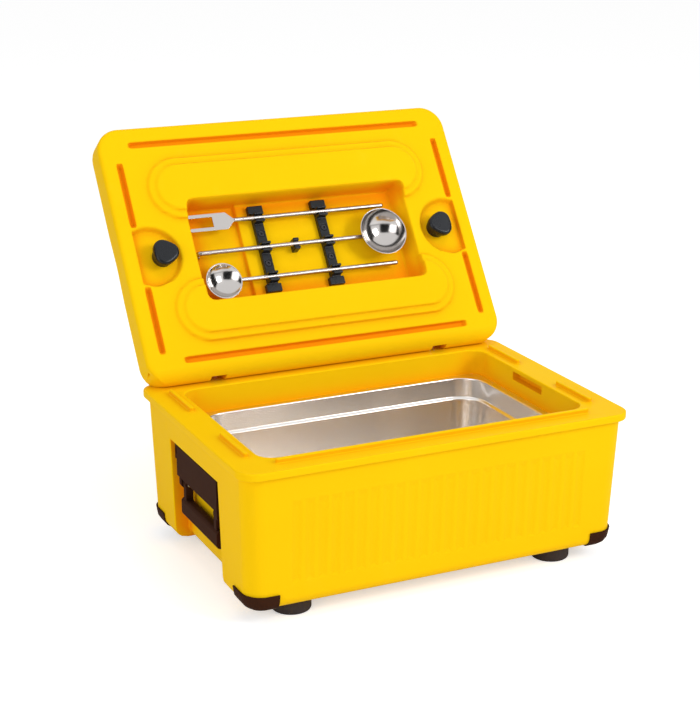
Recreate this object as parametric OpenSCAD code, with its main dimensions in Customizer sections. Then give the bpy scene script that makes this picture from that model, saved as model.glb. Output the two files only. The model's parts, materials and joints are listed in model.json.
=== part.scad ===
// Insulated food carrier: a double-walled tub on four feet with a food pan hung in it and a hinged lid.
// The lid holds two turning latches and a set of serving tools. It is drawn standing open.
// Millimetres. The origin is on the floor, midway between the feet. X runs right, Y to the rear, Z up.

/* [Food pan] */
// Length of the pan over its flange
pan_l = 530; // [500:1:580]
// Width of the pan over its flange
pan_w = 325; // [310:1:360]
// Depth of the pan under its flange
pan_depth = 150; // [120:1:200]
// Sheet thickness of the pan
pan_t = 1.2; // [0.8:0.1:2]

/* [Tub] */
// Width of the rim around the opening
rim_border = 52; // [50:1:60]
// Depth of the pan flange under the rim
pan_drop = 40; // [38:1:60]
// Thickness of the tub under the pan
base_t = 29; // [28:1:60]
// Thickness of the plastic skins
wall_t = 3.5; // [3:0.1:4]
// Radius of the upright corners
corner_r = 30; // [26:1:34]
// Radius of the lower edges of the tub
edge_r = 18; // [10:1:20]
// How far each wall leans in towards the bottom
draft = 7; // [2:0.5:8]
// How far the lip of the rim stands out from the wall
lip_over = 7; // [5:0.5:9]
// Height of the lip
lip_h = 12; // [9:0.5:14]
// Height of the raised tongues on the rim
tongue_h = 7; // [4:0.5:8]
// Number of flutes in the front and rear walls
flute_n = 24; // [12:1:28]
// Depth of a flute
flute_d = 1.8; // [1:0.1:2.2]

/* [Feet and guards] */
// Height of a foot
foot_h = 24; // [20:1:32]
// Radius of a foot
foot_r = 30; // [26:1:34]
// Height of a corner guard over the underside of the tub
guard_h = 25; // [18:1:40]
// How far a corner guard stands out from the wall
guard_t = 2.3; // [1.5:0.1:3]

/* [Handles] */
// Length of a handle grip
grip_l = 150; // [144:1:170]
// Height of a handle grip
grip_h = 29; // [22:1:32]
// Depth of the recess behind a handle
recess_depth = 27; // [26:0.5:30]

/* [Lid] */
// Thickness of the lid
lid_t = 55; // [54:1:70]
// Angle at which the lid stands open
lid_open = 125; // [115:1:126]
// Depth of the grooves in the underside
groove_d = 9; // [8:0.5:9]
// Depth of the tool recess in the underside
tool_d = 30; // [29:0.5:31]
// Height of the two raised panels on the underside
panel_up = 9; // [5:0.5:10]
// Radius of a tool handle
rod_r = 4; // [3:0.1:4.2]

/* [Hidden] */
$fn = 64;
yellow = [0.98, 0.78, 0.04];
brown = [0.2, 0.12, 0.1];
black = [0.08, 0.08, 0.08];
steel = [0.75, 0.75, 0.77];
foam = [0.93, 0.9, 0.8];

eps = 0.01;
gap = 0.4;
running = 0.05;
hull_fn = 32;
edge_steps = 4;
slice = 0.5;

pan_side_room = 5;
pan_end_room = 4.5;
rim_extra_w = 1;
opening_l = pan_l + 2 * pan_side_room;
opening_w = pan_w + 2 * pan_end_room;
rim_l = opening_l + 2 * rim_border;
rim_w = opening_w + 2 * (rim_border + rim_extra_w);
base_z = foot_h;
rim_z = base_z + base_t + pan_depth + pan_drop;
rim_t = 5;
shell_z = rim_z - rim_t;
shell_l = rim_l - 2 * lip_over;
shell_w = rim_w - 2 * lip_over;
lean = atan(draft / (shell_z - base_z));
opening_r = 26;

flange_z = rim_z - pan_drop;
flange_t = 1.5;
ledge_z = flange_z - flange_t;
ledge_w = 11;
well_l = pan_l - 2 * ledge_w;
well_w = pan_w - 2 * ledge_w;
well_r = 50;
well_under = 3;
well_z = flange_z - pan_depth - well_under;
liner_t = 3;
pan_room = 1.5;
pan_top_l = well_l - 2 * pan_room;
pan_top_w = well_w - 2 * pan_room;
pan_top_r = 48;
pan_shoulder = 34;
pan_step = 4.5;
pan_step_h = 3;
pan_body_l = pan_top_l - 2 * pan_step;
pan_body_w = pan_top_w - 2 * pan_step;
pan_body_r = 44;
pan_taper = 10;
pan_edge = 22;
pan_flange_r = 22;

tongue_w = 7;
tongue_side_in = 34;
tongue_front_in = 32;
tongue_x = rim_l / 2 - tongue_side_in;
tongue_y = rim_w / 2 - tongue_front_in;
tongue_end_room = 6;
tongue_side_room = 7;
tongue_side_shift = 2;
groove_w = 11;
groove_rear_end_in = 104.5;
groove_front_end_in = 119;
groove_side_y = [rim_w / 2 - groove_rear_end_in, -(rim_w / 2 - groove_front_end_in)];
groove_side_l = 112;
groove_front_short = 5;
groove_rear_short = 16;
groove_rear_in = 33;
groove_front_half = opening_l / 2 - groove_front_short;
groove_rear_half = opening_l / 2 - groove_rear_short;
groove_rear_y = rim_w / 2 - groove_rear_in;

flute_up = 40;
flute_down = 51;
flute_margin = 76;
flute_share = 0.42;
flute_z0 = base_z + flute_up;
flute_h = rim_z - flute_z0 - flute_down;
flute_pitch = (rim_l - 2 * flute_margin) / flute_n;
flute_half = flute_pitch * flute_share;
flute_r = (flute_half * flute_half + flute_d * flute_d) / (2 * flute_d);

foot_side_in = 100;
foot_front_in = 65;
foot_x = rim_l / 2 - foot_side_in;
foot_y = rim_w / 2 - foot_front_in;
foot_bevel = 1.5;
foot_bevel_h = 3;
socket_r = 10;
socket_d = 8;
screw_head_r = 5.2;
screw_head_h = 4;
screw_head_room = 0.3;
screw_r = 2.5;
screw_hex_r = 2.3;
screw_hex_d = 2.4;
screw_tip_room = 3;
foot_floor = 9;
foot_seat_z = foot_h - foot_floor;
foot_boss_r = 8;
foot_boss_h = 17;
guard_side_l = 60;
guard_front_l = 72;
guard_x = rim_l / 2 - guard_side_l;
guard_y = rim_w / 2 - guard_front_l;

recess_edge_in = 4;
recess_x = shell_l / 2 - draft - recess_depth + recess_edge_in;
recess_half = 100;
recess_down = 52;
recess_top = rim_z - recess_down;
bracket_t = 24;
bracket_half = 84;
bracket_h = 49;
bracket_room = 5;
ear_half = 99;
ear_h = 26;
ear_step = 3;
bracket_top = recess_top - bracket_room;
bracket_bottom = bracket_top - bracket_h;
ear_bottom = bracket_top - ear_h;
cheek_in = 70;
cheek_out = 80;
cheek_r = 9;
handle_out = 13;
handle_under = 10;
handle_x = recess_x + handle_out;
handle_z = bracket_bottom - handle_under;
handle_pin_r = 3;
bail_room = 1;
bail_w = 11;
bail_out = cheek_in - bail_room;
bail_in = bail_out - bail_w;
bail_t = 12;
bail_eye = 1;
bail_sink = 4;
grip_t = 16;
grip_r = 6;
grip_drop = 24;
grip_top = handle_z - grip_drop;
ear_screw_y = 90;
ear_screw_z = (bracket_top + ear_bottom) / 2;
ear_seat = 10;
ear_boss_r = 7;
ear_boss_l = 10;

hinge_side_in = 122;
hinge_rear_in = 23;
hinge_x = rim_l / 2 - hinge_side_in;
hinge_y = rim_w / 2 - hinge_rear_in;
hinge_up = 23;
hinge_z = rim_z + hinge_up;
lid_gap = 0.6;
heel_r = hinge_up - lid_gap;
arm_w = 24;
arm_eye_r = 9.5;
arm_r = 9;
arm_room = 12;
arm_leg_y = rim_w / 2 + arm_room;
arm_leg_t = 10;
arm_leg_down = 14;
arm_pad_down = 2;
arm_pad_h = 76;
arm_foot_z = rim_z - arm_pad_h;
arm_foot_bevel = 12;
hinge_pin_r = 4;
hinge_slot_w = arm_w + 2;
hinge_slot_r = 10.4;
hinge_cheek = 12;
hinge_block_l = 60;
hinge_screw_low = 62;
hinge_screw_high = 36;
hinge_screw_z = [rim_z - hinge_screw_low, rim_z - hinge_screw_high];
hinge_boss_l = 12;

lid_in = 4;
lid_l = rim_l - 2 * lid_in;
lid_w = rim_w;
lid_r = 40;
lid_edge = 14;
lid_z = rim_z + lid_gap;
lid_top = lid_z + lid_t;
split_h = 12;
split_z = lid_z + split_h;
panel_t = 4;
hinge_wall = 7;
cavity_rear = hinge_y - hinge_wall;
block_t = 3;

tool_left_in = 76;
tool_right_in = 66;
tool_front_in = 85;
tool_rear_in = 71;
tool_x0 = -(opening_l / 2 - tool_left_in);
tool_x1 = opening_l / 2 - tool_right_in;
tool_y0 = -(opening_w / 2 - tool_front_in);
tool_y1 = opening_w / 2 - tool_rear_in;
tool_slope = 18;
tool_corner = 14;
step_in = 97;
step_x = tool_x0 + step_in;
step_d = 8;
step_slope = 4;
tool_z = lid_z + tool_d;

panel_side_in = 18;
panel_front_in = 7;
panel_rear_in = 4;
panel_tool_room = 3;
panel_x = opening_l / 2 - panel_side_in;
panel_front = [-(opening_w / 2 - panel_front_in), tool_y0 - panel_tool_room];
panel_rear = [tool_y1 + panel_tool_room, opening_w / 2 - panel_rear_in];
panel_outer_r = 55;
panel_inner_r = 16;
panel_slope = 11;

latch_in = 20;
latch_x = opening_l / 2 - latch_in;
latch_y = 8;
notch_r = 50;
notch_x = opening_l / 2;
notch_limit = tongue_x + groove_w / 2;
cam_reach = 10;
cam_round = 14;
cam_t = 10;
cam_drop = 19;
cam_z = lid_z - cam_drop;
hub_r = 17;
spindle_r = 8;
bush_r = 12;
scoop_d = 15;
scoop_half = 84;
scoop_r = (scoop_half * scoop_half + scoop_d * scoop_d) / (2 * scoop_d);
scoop_in = 38;
scoop_x = latch_x - scoop_in;
seat_r = 30;
seat_d = 18;
seat_z = lid_top - seat_d;
knob_r = 24;
knob_h = 10;
knob_bar = 13;
knob_grip_in = 1;
knob_floor = 3.4;
slot_half = 45;
slot_depth = 14;
slot_room = 2;
slot_h = cam_t + 2 * slot_room;
slot_top = cam_z - lid_gap + cam_t + slot_room + gap / 2;

rod_up = 16;
rod_z = tool_z - rod_up;
rod_gap = 0.4;
tool_margin = 36;
fork_y = tool_y0 + tool_margin;
spoon_y = tool_y1 - tool_margin;
ladle_y = (fork_y + spoon_y) / 2;
rail_left_in = 31;
rail_right_in = 146;
rail_x = [step_x + rail_left_in, step_x + rail_right_in];
rail_w = 17;
rail_tab_w = 27;
rail_tab_l = 14;
rail_t = 10;
rail_past = 24;
jaw_h = 12;
jaw_wall = 4;
rail_y0 = fork_y - rail_past;
rail_y1 = spoon_y + rail_past;
rail_screw_y = [(fork_y + ladle_y) / 2, (ladle_y + spoon_y) / 2];
rail_boss_r = 6;
rail_boss_h = 7;
clip_in = 86;
clip_x = step_x + clip_in;
clip_l = 10;
clip_w = 20;
fork_tip_room = 4;
fork_tine_l = 42;
fork_head_l = 86;
fork_plate_l = 24;
fork_stem_l = 8;
fork_stem = 3;
tine_half = 3;
sleeve_half = 6;
handle_end_in = 39;
fork_tip = tool_x0 + fork_tip_room;
fork_root = fork_tip + fork_tine_l;
fork_neck = fork_tip + fork_head_l;
fork_end = tool_x1 - handle_end_in;
fork_half = 15;
fork_t = 2.5;
ladle_in = 59;
ladle_x = tool_x1 - ladle_in;
ladle_r = 42;
ladle_depth = 31;
bowl_room = 3;
ladle_ball = (ladle_r * ladle_r + ladle_depth * ladle_depth) / (2 * ladle_depth);
ladle_ball_z = tool_z - bowl_room - ladle_ball;
ladle_rim_z = tool_z - bowl_room - ladle_depth;
ladle_t = 1.5;
hook_in = 14;
hook_x = tool_x0 + hook_in;
hook_r = 8;
spoon_in = 39;
spoon_x = tool_x0 + spoon_in;
spoon_r = 31;
spoon_depth = 15;
spoon_ball = (spoon_r * spoon_r + spoon_depth * spoon_depth) / (2 * spoon_depth);
spoon_up = 8;
spoon_bottom = tool_z - spoon_up;
spoon_ball_z = spoon_bottom - spoon_ball;
spoon_t = 1.5;
spoon_neck_l = 20;
spoon_neck = fork_neck + spoon_neck_l;

// A rectangle with rounded corners
module rounded(l, w, r) {
    square([l - 2 * r, w], center = true);
    square([l, w - 2 * r], center = true);
    for (sx = [-1, 1], sy = [-1, 1]) translate([sx * (l / 2 - r), sy * (w / 2 - r)]) circle(r);
}

// A straight bar with round ends, along X
module bar(l, w) {
    square([l - w, w], center = true);
    for (s = [-1, 1]) translate([s * (l - w) / 2, 0]) circle(w / 2);
}

// A flat profile drawn in Y and Z and carried along X
module along_x(w) {
    rotate([90, 0, 90]) linear_extrude(w, center = true) children();
}

// A flat profile drawn in X and Z and carried along Y
module along_y(w) {
    rotate([90, 0, 0]) linear_extrude(w, center = true) children();
}

// A rod along X from one place to another
module rod(x0, x1, r) {
    translate([x0, 0, 0]) rotate([0, 90, 0]) cylinder(r = r, h = x1 - x0);
}

// A layer of a rounded form: four upright cones at its corners between two heights
module corner_cones(l, w, r, z0, z1, r0, r1) {
    for (sx = [-1, 1], sy = [-1, 1]) {
        translate([sx * (l / 2 - r), sy * (w / 2 - r), z0])
            cylinder(r1 = r0, r2 = r1, h = z1 - z0, $fn = hull_fn);
    }
}

// The outside of the tub up to a height, grown by g
module tub_form(g, top) {
    rise = (top - base_z) / (shell_z - base_z);
    foot_l = shell_l - 2 * draft;
    foot_w = shell_w - 2 * draft;
    round_r = edge_r + g;
    hull() {
        for (k = [0 : edge_steps - 1]) {
            t0 = 90 * k / edge_steps;
            t1 = 90 * (k + 1) / edge_steps;
            corner_cones(foot_l, foot_w, corner_r, base_z + edge_r - round_r * cos(t0),
                base_z + edge_r - round_r * cos(t1), corner_r - edge_r + round_r * sin(t0),
                corner_r - edge_r + round_r * sin(t1));
        }
        corner_cones(foot_l + 2 * draft * rise, foot_w + 2 * draft * rise, corner_r, top - slice, top,
            corner_r + g, corner_r + g);
    }
}

// The two handle recesses, grown by g, open at the underside and at the ends of the tub
module handle_spaces(g) {
    for (s = [-1, 1]) {
        translate([s * (recess_x - g + rim_l / 4), 0, recess_top / 2 + g / 2])
            cube([rim_l / 2, 2 * recess_half + 2 * g, recess_top + g], center = true);
        translate([s * (recess_x - edge_r), 0, base_z + edge_r]) recess_heel(s, g);
    }
}

// What rounds off the lower edge at the back of a handle recess, grown by g
module recess_heel(s, g) {
    width = 2 * recess_half + 2 * g;
    difference() {
        translate([s * edge_r / 2, 0, -edge_r / 2 - 1]) cube([edge_r + 2, width, edge_r + 2], center = true);
        rotate([90, 0, 0]) cylinder(r = edge_r - g, h = width + 2, center = true);
    }
}

// Solid posts behind the screws of the feet, hinges and handles, grown by g
module tub_bosses(g) {
    for (sx = [-1, 1], sy = [-1, 1]) {
        translate([sx * foot_x, sy * foot_y, base_z + eps])
            cylinder(r = foot_boss_r + g, h = foot_boss_h + g);
    }
    for (sx = [-1, 1], z = hinge_screw_z) {
        translate([sx * hinge_x, shell_w / 2 - draft / 2, z]) rotate([90, 0, 0])
            cylinder(r = foot_boss_r + g, h = 2 * (hinge_boss_l + g), center = true);
    }
    for (sx = [-1, 1], sy = [-1, 1]) {
        translate([sx * (recess_x - eps), sy * ear_screw_y, ear_screw_z]) rotate([0, -sx * 90, 0])
            cylinder(r = ear_boss_r + g, h = ear_boss_l + g);
    }
}

// Bores for every screw that ends in the outer shell
module tub_screw_bores() {
    for (sx = [-1, 1], sy = [-1, 1]) {
        translate([sx * foot_x, sy * foot_y, base_z - 1])
            cylinder(r = screw_r + running, h = foot_boss_h);
    }
    for (sx = [-1, 1], z = hinge_screw_z) {
        translate([sx * hinge_x, shell_w / 2 + 2, z]) rotate([90, 0, 0])
            cylinder(r = screw_r + running, h = hinge_boss_l + 3);
    }
    for (sx = [-1, 1], sy = [-1, 1]) {
        translate([sx * (recess_x + 1), sy * ear_screw_y, ear_screw_z]) rotate([0, -sx * 90, 0])
            cylinder(r = screw_r + running, h = ear_boss_l);
    }
}

// Upright flutes in the front and rear walls, following the lean of the wall
module flutes() {
    mid_z = flute_z0 + flute_h / 2;
    wall_y = shell_w / 2 - draft * (shell_z - mid_z) / (shell_z - base_z);
    for (s = [-1, 1], i = [0 : flute_n - 1]) {
        translate([(i - (flute_n - 1) / 2) * flute_pitch, s * wall_y, mid_z]) rotate([-s * lean, 0, 0])
            translate([0, s * (flute_r - flute_d), 0]) cylinder(r = flute_r, h = flute_h, center = true);
    }
}

module tub_outer_shell() color(yellow) {
    difference() {
        tub_form(0, shell_z);
        difference() {
            tub_form(-wall_t, shell_z + 1);
            handle_spaces(wall_t);
            intersection() {
                tub_form(0, shell_z);
                tub_bosses(0);
            }
        }
        handle_spaces(0);
        flutes();
        tub_screw_bores();
    }
}

// The outside of the well and of the slots for the latches, grown by g
module liner_backs(g) {
    translate([0, 0, ledge_z - liner_t - g]) linear_extrude(rim_z - ledge_z + liner_t + g - eps)
        rounded(opening_l + 2 * liner_t + 2 * g, opening_w + 2 * liner_t + 2 * g, opening_r + liner_t + g);
    translate([0, 0, well_z - liner_t - g]) linear_extrude(ledge_z - well_z + 2 * g)
        rounded(well_l + 2 * liner_t + 2 * g, well_w + 2 * liner_t + 2 * g, well_r + liner_t + g);
    for (s = [-1, 1]) {
        translate([s * (opening_l / 2 + slot_depth / 2), latch_y, slot_top - slot_h / 2])
            cube([slot_depth + 2 * liner_t + 2 * g, 2 * slot_half + 2 * liner_t + 2 * g,
                slot_h + 2 * liner_t + 2 * g], center = true);
    }
}

// Raised tongues on the rim that stand in the grooves of the lid
module tongues() {
    side_l = groove_side_l - 2 * tongue_side_room;
    translate([0, 0, rim_z - 1]) linear_extrude(tongue_h + 1) {
        translate([0, -tongue_y]) bar(2 * (groove_front_half - tongue_end_room), tongue_w);
        for (s = [-1, 1], y = groove_side_y) {
            translate([s * tongue_x, y - tongue_side_shift]) rotate(90) bar(side_l, tongue_w);
        }
    }
}

module tub_inner_liner() color(yellow) {
    difference() {
        union() {
            translate([0, 0, shell_z]) linear_extrude(rim_t) rounded(rim_l, rim_w, corner_r);
            translate([0, 0, rim_z - lip_h]) linear_extrude(lip_h - eps) difference() {
                rounded(rim_l, rim_w, corner_r);
                rounded(shell_l + gap, shell_w + gap, corner_r);
            }
            liner_backs(0);
            tongues();
        }
        translate([0, 0, ledge_z]) linear_extrude(pan_drop + 20) rounded(opening_l, opening_w, opening_r);
        translate([0, 0, well_z]) linear_extrude(pan_depth + 20) rounded(well_l, well_w, well_r);
        for (s = [-1, 1]) {
            translate([s * (opening_l / 2 + slot_depth / 2 - 1), latch_y, slot_top - slot_h / 2])
                cube([slot_depth + 2, 2 * slot_half, slot_h], center = true);
        }
    }
}

module tub_insulation() color(foam) {
    difference() {
        tub_form(-wall_t - gap, shell_z - gap);
        liner_backs(gap);
        handle_spaces(wall_t + gap);
        tub_bosses(gap);
    }
}

// A pan outline, drawn in by g
module pan_solid(g) {
    shoulder_z = flange_z - pan_shoulder;
    floor_z = flange_z - pan_depth;
    translate([0, 0, shoulder_z - pan_step_h + g]) linear_extrude(pan_shoulder + pan_step_h - g)
        rounded(pan_top_l - 2 * g, pan_top_w - 2 * g, pan_top_r - g);
    round_r = pan_edge - g;
    hull() {
        for (k = [0 : edge_steps - 1]) {
            t0 = 90 * k / edge_steps;
            t1 = 90 * (k + 1) / edge_steps;
            corner_cones(pan_body_l - 2 * pan_taper, pan_body_w - 2 * pan_taper, pan_body_r,
                floor_z + pan_edge - round_r * cos(t0), floor_z + pan_edge - round_r * cos(t1),
                pan_body_r - pan_edge + round_r * sin(t0), pan_body_r - pan_edge + round_r * sin(t1));
        }
        corner_cones(pan_body_l, pan_body_w, pan_body_r, shoulder_z, shoulder_z + slice, pan_body_r - g,
            pan_body_r - g);
    }
}

module food_pan() color(steel) {
    difference() {
        union() {
            pan_solid(0);
            translate([0, 0, ledge_z]) linear_extrude(flange_t) rounded(pan_l, pan_w, pan_flange_r);
        }
        pan_solid(pan_t);
        translate([0, 0, flange_z - 2]) linear_extrude(4)
            rounded(pan_top_l - 2 * pan_t, pan_top_w - 2 * pan_t, pan_top_r - pan_t);
    }
}

module guard(sx, sy) color(brown) {
    intersection() {
        difference() {
            tub_form(guard_t, base_z + guard_h);
            tub_form(running, base_z + guard_h + 1);
        }
        translate([sx * (guard_x + rim_l / 2), sy * (guard_y + rim_w / 2), base_z])
            cube([rim_l, rim_w, 4 * guard_h], center = true);
    }
}

module guard_front_left() guard(-1, -1);

module guard_front_right() guard(1, -1);

module guard_rear_left() guard(-1, 1);

module guard_rear_right() guard(1, 1);

module foot(sx, sy) color(black) {
    translate([sx * foot_x, sy * foot_y, 0]) difference() {
        union() {
            cylinder(r1 = foot_r - foot_bevel, r2 = foot_r, h = foot_bevel_h);
            translate([0, 0, foot_bevel_h]) cylinder(r = foot_r, h = foot_h - foot_bevel_h);
        }
        translate([0, 0, -1]) cylinder(r = socket_r, h = socket_d + 1);
        cylinder(r = screw_head_r + 1, h = foot_seat_z);
        cylinder(r = screw_r + running, h = foot_h + 1);
    }
}

module foot_front_left() foot(-1, -1);

module foot_front_right() foot(1, -1);

module foot_rear_left() foot(-1, 1);

module foot_rear_right() foot(1, 1);

// A screw with a socket in its head, pointing up, its head seated at zero
module screw(l) {
    difference() {
        union() {
            cylinder(r = screw_r, h = l);
            translate([0, 0, -screw_head_h]) cylinder(r = screw_head_r, h = screw_head_h);
        }
        translate([0, 0, -screw_head_h - 1]) cylinder(r = screw_hex_r, h = screw_hex_d + 1, $fn = 6);
    }
}

module foot_screws() color(steel) {
    for (sx = [-1, 1], sy = [-1, 1]) {
        translate([sx * foot_x, sy * foot_y, foot_seat_z]) screw(foot_floor + foot_boss_h - screw_tip_room);
    }
}

module handle_bracket(s) color(brown) {
    mirror([s < 0 ? 1 : 0, 0, 0]) difference() {
        union() {
            translate([recess_x, -bracket_half, bracket_bottom])
                cube([bracket_t, 2 * bracket_half, bracket_h]);
            translate([recess_x, -ear_half, ear_bottom])
                cube([bracket_t - ear_step, 2 * ear_half, ear_h]);
            for (m = [-1, 1]) {
                translate([handle_x, m * (cheek_in + cheek_out) / 2, handle_z]) rotate([90, 0, 0])
                    cylinder(r = cheek_r, h = cheek_out - cheek_in, center = true);
                translate([handle_x - cheek_r, m < 0 ? -cheek_out : cheek_in, handle_z])
                    cube([2 * cheek_r, cheek_out - cheek_in, handle_under + 1]);
            }
        }
        translate([handle_x, 0, handle_z]) rotate([90, 0, 0])
            cylinder(r = handle_pin_r + running / 2, h = 3 * cheek_out, center = true);
        for (m = [-1, 1]) translate([recess_x, m * ear_screw_y, ear_screw_z]) rotate([0, 90, 0]) {
            translate([0, 0, -1]) cylinder(r = screw_r + running, h = 2 * bracket_t);
            translate([0, 0, ear_seat]) cylinder(r = screw_head_r + screw_head_room, h = 2 * bracket_t);
        }
    }
}

module handle_bracket_left() handle_bracket(-1);

module handle_bracket_right() handle_bracket(1);

module handle_bail(s) color(brown) {
    mirror([s < 0 ? 1 : 0, 0, 0]) difference() {
        union() {
            translate([handle_x, 0, grip_top - grip_h / 2]) along_y(grip_l) rounded(grip_t, grip_h, grip_r);
            for (m = [-1, 1]) translate([handle_x, m * (bail_in + bail_out) / 2, 0]) {
                translate([0, 0, handle_z]) rotate([90, 0, 0])
                    cylinder(r = bail_t / 2 + bail_eye, h = bail_w, center = true);
                translate([0, 0, (handle_z + grip_top - bail_sink) / 2])
                    cube([bail_t, bail_w, grip_drop + bail_sink], center = true);
            }
        }
        translate([handle_x, 0, handle_z]) rotate([90, 0, 0])
            cylinder(r = handle_pin_r + running, h = 3 * cheek_out, center = true);
    }
}

module handle_bail_left() handle_bail(-1);

module handle_bail_right() handle_bail(1);

module handle_pins() color(steel) {
    for (sx = [-1, 1], sy = [-1, 1]) {
        translate([sx * handle_x, sy * (bail_in + cheek_out) / 2, handle_z]) rotate([90, 0, 0])
            cylinder(r = handle_pin_r, h = cheek_out - bail_in + 2, center = true);
    }
}

module handle_screws() color(steel) {
    for (sx = [-1, 1], sy = [-1, 1]) {
        translate([sx * (recess_x + ear_seat), sy * ear_screw_y, ear_screw_z]) rotate([0, -sx * 90, 0])
            screw(ear_seat + ear_boss_l - screw_tip_room);
    }
}

// A hinge arm: a pad on the rear wall, a leg past the lip and an eye on the pivot
module hinge_arm(s) color(yellow) {
    arm_rear = arm_leg_y + arm_leg_t;
    pad_y = shell_w / 2 - draft;
    difference() {
        translate([s * hinge_x, 0, 0]) along_x(arm_w) difference() {
            union() {
                translate([hinge_y, hinge_z]) circle(arm_eye_r);
                translate([hinge_y, hinge_z - arm_r]) square([arm_rear - arm_r - hinge_y, 2 * arm_r]);
                translate([arm_rear - arm_r, hinge_z]) circle(arm_r);
                translate([arm_leg_y, rim_z - lip_h - arm_leg_down])
                    square([arm_leg_t, hinge_up + lip_h + arm_leg_down]);
                polygon([[pad_y, arm_foot_z], [arm_rear - arm_foot_bevel, arm_foot_z],
                    [arm_rear, arm_foot_z + arm_foot_bevel], [arm_rear, rim_z - lip_h - arm_pad_down],
                    [pad_y, rim_z - lip_h - arm_pad_down]]);
            }
            translate([hinge_y, hinge_z]) circle(hinge_pin_r + running);
        }
        tub_form(running, shell_z);
        for (z = hinge_screw_z) translate([s * hinge_x, arm_rear, z]) rotate([90, 0, 0]) {
            translate([0, 0, -1]) cylinder(r = screw_r + running, h = 6 * arm_leg_t);
            translate([0, 0, -1]) cylinder(r = screw_head_r + screw_head_room, h = screw_head_h + 1);
        }
    }
}

module hinge_arm_left() hinge_arm(-1);

module hinge_arm_right() hinge_arm(1);

module hinge_screws() color(steel) {
    for (sx = [-1, 1], z = hinge_screw_z) {
        translate([sx * hinge_x, arm_leg_y + arm_leg_t - screw_head_h, z]) rotate([90, 0, 0])
            screw(arm_leg_y + arm_leg_t - screw_head_h - shell_w / 2 + hinge_boss_l - 1);
    }
}

// Carries what is drawn on the closed lid to where the lid stands open
module on_lid() {
    translate([0, hinge_y, hinge_z]) rotate([-lid_open, 0, 0]) translate([0, -hinge_y, -hinge_z]) children();
}

module hinge_pins() color(steel) on_lid() {
    for (s = [-1, 1]) {
        translate([s * hinge_x, hinge_y, hinge_z]) rotate([0, 90, 0])
            cylinder(r = hinge_pin_r, h = hinge_slot_w + 2 * hinge_cheek - 4, center = true);
    }
}

// The outside of the lid with rounded upper edges, grown by g
module lid_form(g) {
    round_r = lid_edge + g;
    round_z = lid_top - lid_edge;
    hull() {
        corner_cones(lid_l, lid_w, lid_r, lid_z, round_z, lid_r + g, lid_r + g);
        for (k = [0 : edge_steps - 1]) {
            t0 = 90 * k / edge_steps;
            t1 = 90 * (k + 1) / edge_steps;
            corner_cones(lid_l, lid_w, lid_r, round_z + round_r * sin(t0), round_z + round_r * sin(t1),
                lid_r - lid_edge + round_r * cos(t0), lid_r - lid_edge + round_r * cos(t1));
        }
    }
}

// What is taken off the rear of the lid: it rolls on its heel and lands on a flat when open
module lid_rear_cut() {
    reach = 2 * lid_t;
    flat_turn = lid_open - 90;
    translate([0, hinge_y, hinge_z]) along_x(2 * rim_l) {
        polygon(concat([[0, -heel_r - 0.5]],
            [for (a = [-80 : 5 : flat_turn]) heel_r * [cos(a), sin(a)]],
            [heel_r * [cos(flat_turn), sin(flat_turn)] + reach * [-sin(flat_turn), cos(flat_turn)],
                [reach, 2 * reach], [reach, -reach], [0, -reach]]));
    }
}

// The room in the lid between a height and the inside of its skin
module lid_room(z, g) {
    difference() {
        lid_form(-wall_t - g);
        translate([-rim_l, -rim_w, z - 2 * lid_t]) cube([2 * rim_l, 2 * rim_w, 2 * lid_t]);
        translate([-rim_l, cavity_rear - g, lid_z - lid_t]) cube([2 * rim_l, rim_w, 3 * lid_t]);
    }
}

// Slots in the lid in which the hinge arms swing
module hinge_slots() {
    reach = 2 * lid_t;
    swing = lid_open + 2;
    side = hinge_slot_r * [-sin(swing), cos(swing)];
    for (s = [-1, 1]) translate([s * hinge_x, hinge_y, hinge_z]) along_x(hinge_slot_w) {
        circle(hinge_slot_r);
        polygon([[0, -hinge_slot_r], [reach, -hinge_slot_r], [reach, reach],
            reach * [cos(swing), sin(swing)] + side, side]);
    }
}

// Solid blocks in the lid around the hinge slots, grown by g
module hinge_blocks(g) {
    for (s = [-1, 1]) {
        translate([s * hinge_x, hinge_y - hinge_up, split_z + lid_t / 2])
            cube([hinge_slot_w + 2 * hinge_cheek + 2 * g, hinge_block_l + 2 * g, lid_t], center = true);
    }
}

// Dished scoops and knob seats in the top of the lid over the latches, grown by g
module scoops(g) {
    for (s = [-1, 1]) {
        intersection() {
            translate([s * (scoop_x - g + rim_l / 4), latch_y, lid_top])
                cube([rim_l / 2, 4 * scoop_half, 4 * scoop_d], center = true);
            translate([0, latch_y, lid_top - scoop_d + scoop_r]) rotate([0, 90, 0])
                cylinder(r = scoop_r + g, h = 2 * rim_l, center = true, $fn = 128);
        }
        translate([s * latch_x, latch_y, seat_z - g]) cylinder(r = seat_r + g, h = lid_t);
    }
}

// Bores in the lid for the latch bushings
module bush_bores(r) {
    for (s = [-1, 1]) translate([s * latch_x, latch_y, lid_z - 1]) cylinder(r = r, h = lid_t + 2);
}

module lid_outer_shell() color(yellow) on_lid() {
    difference() {
        lid_form(0);
        translate([-rim_l, -rim_w, 0]) cube([2 * rim_l, 2 * rim_w, split_z]);
        lid_rear_cut();
        difference() {
            lid_room(split_z - 2, 0);
            hinge_blocks(0);
            scoops(wall_t);
        }
        scoops(0);
        hinge_slots();
        for (s = [-1, 1]) translate([s * hinge_x, hinge_y, hinge_z]) rotate([0, 90, 0])
            cylinder(r = hinge_pin_r + running / 2, h = hinge_slot_w + 2 * hinge_cheek - 3, center = true);
        bush_bores(bush_r + running);
    }
}

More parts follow.
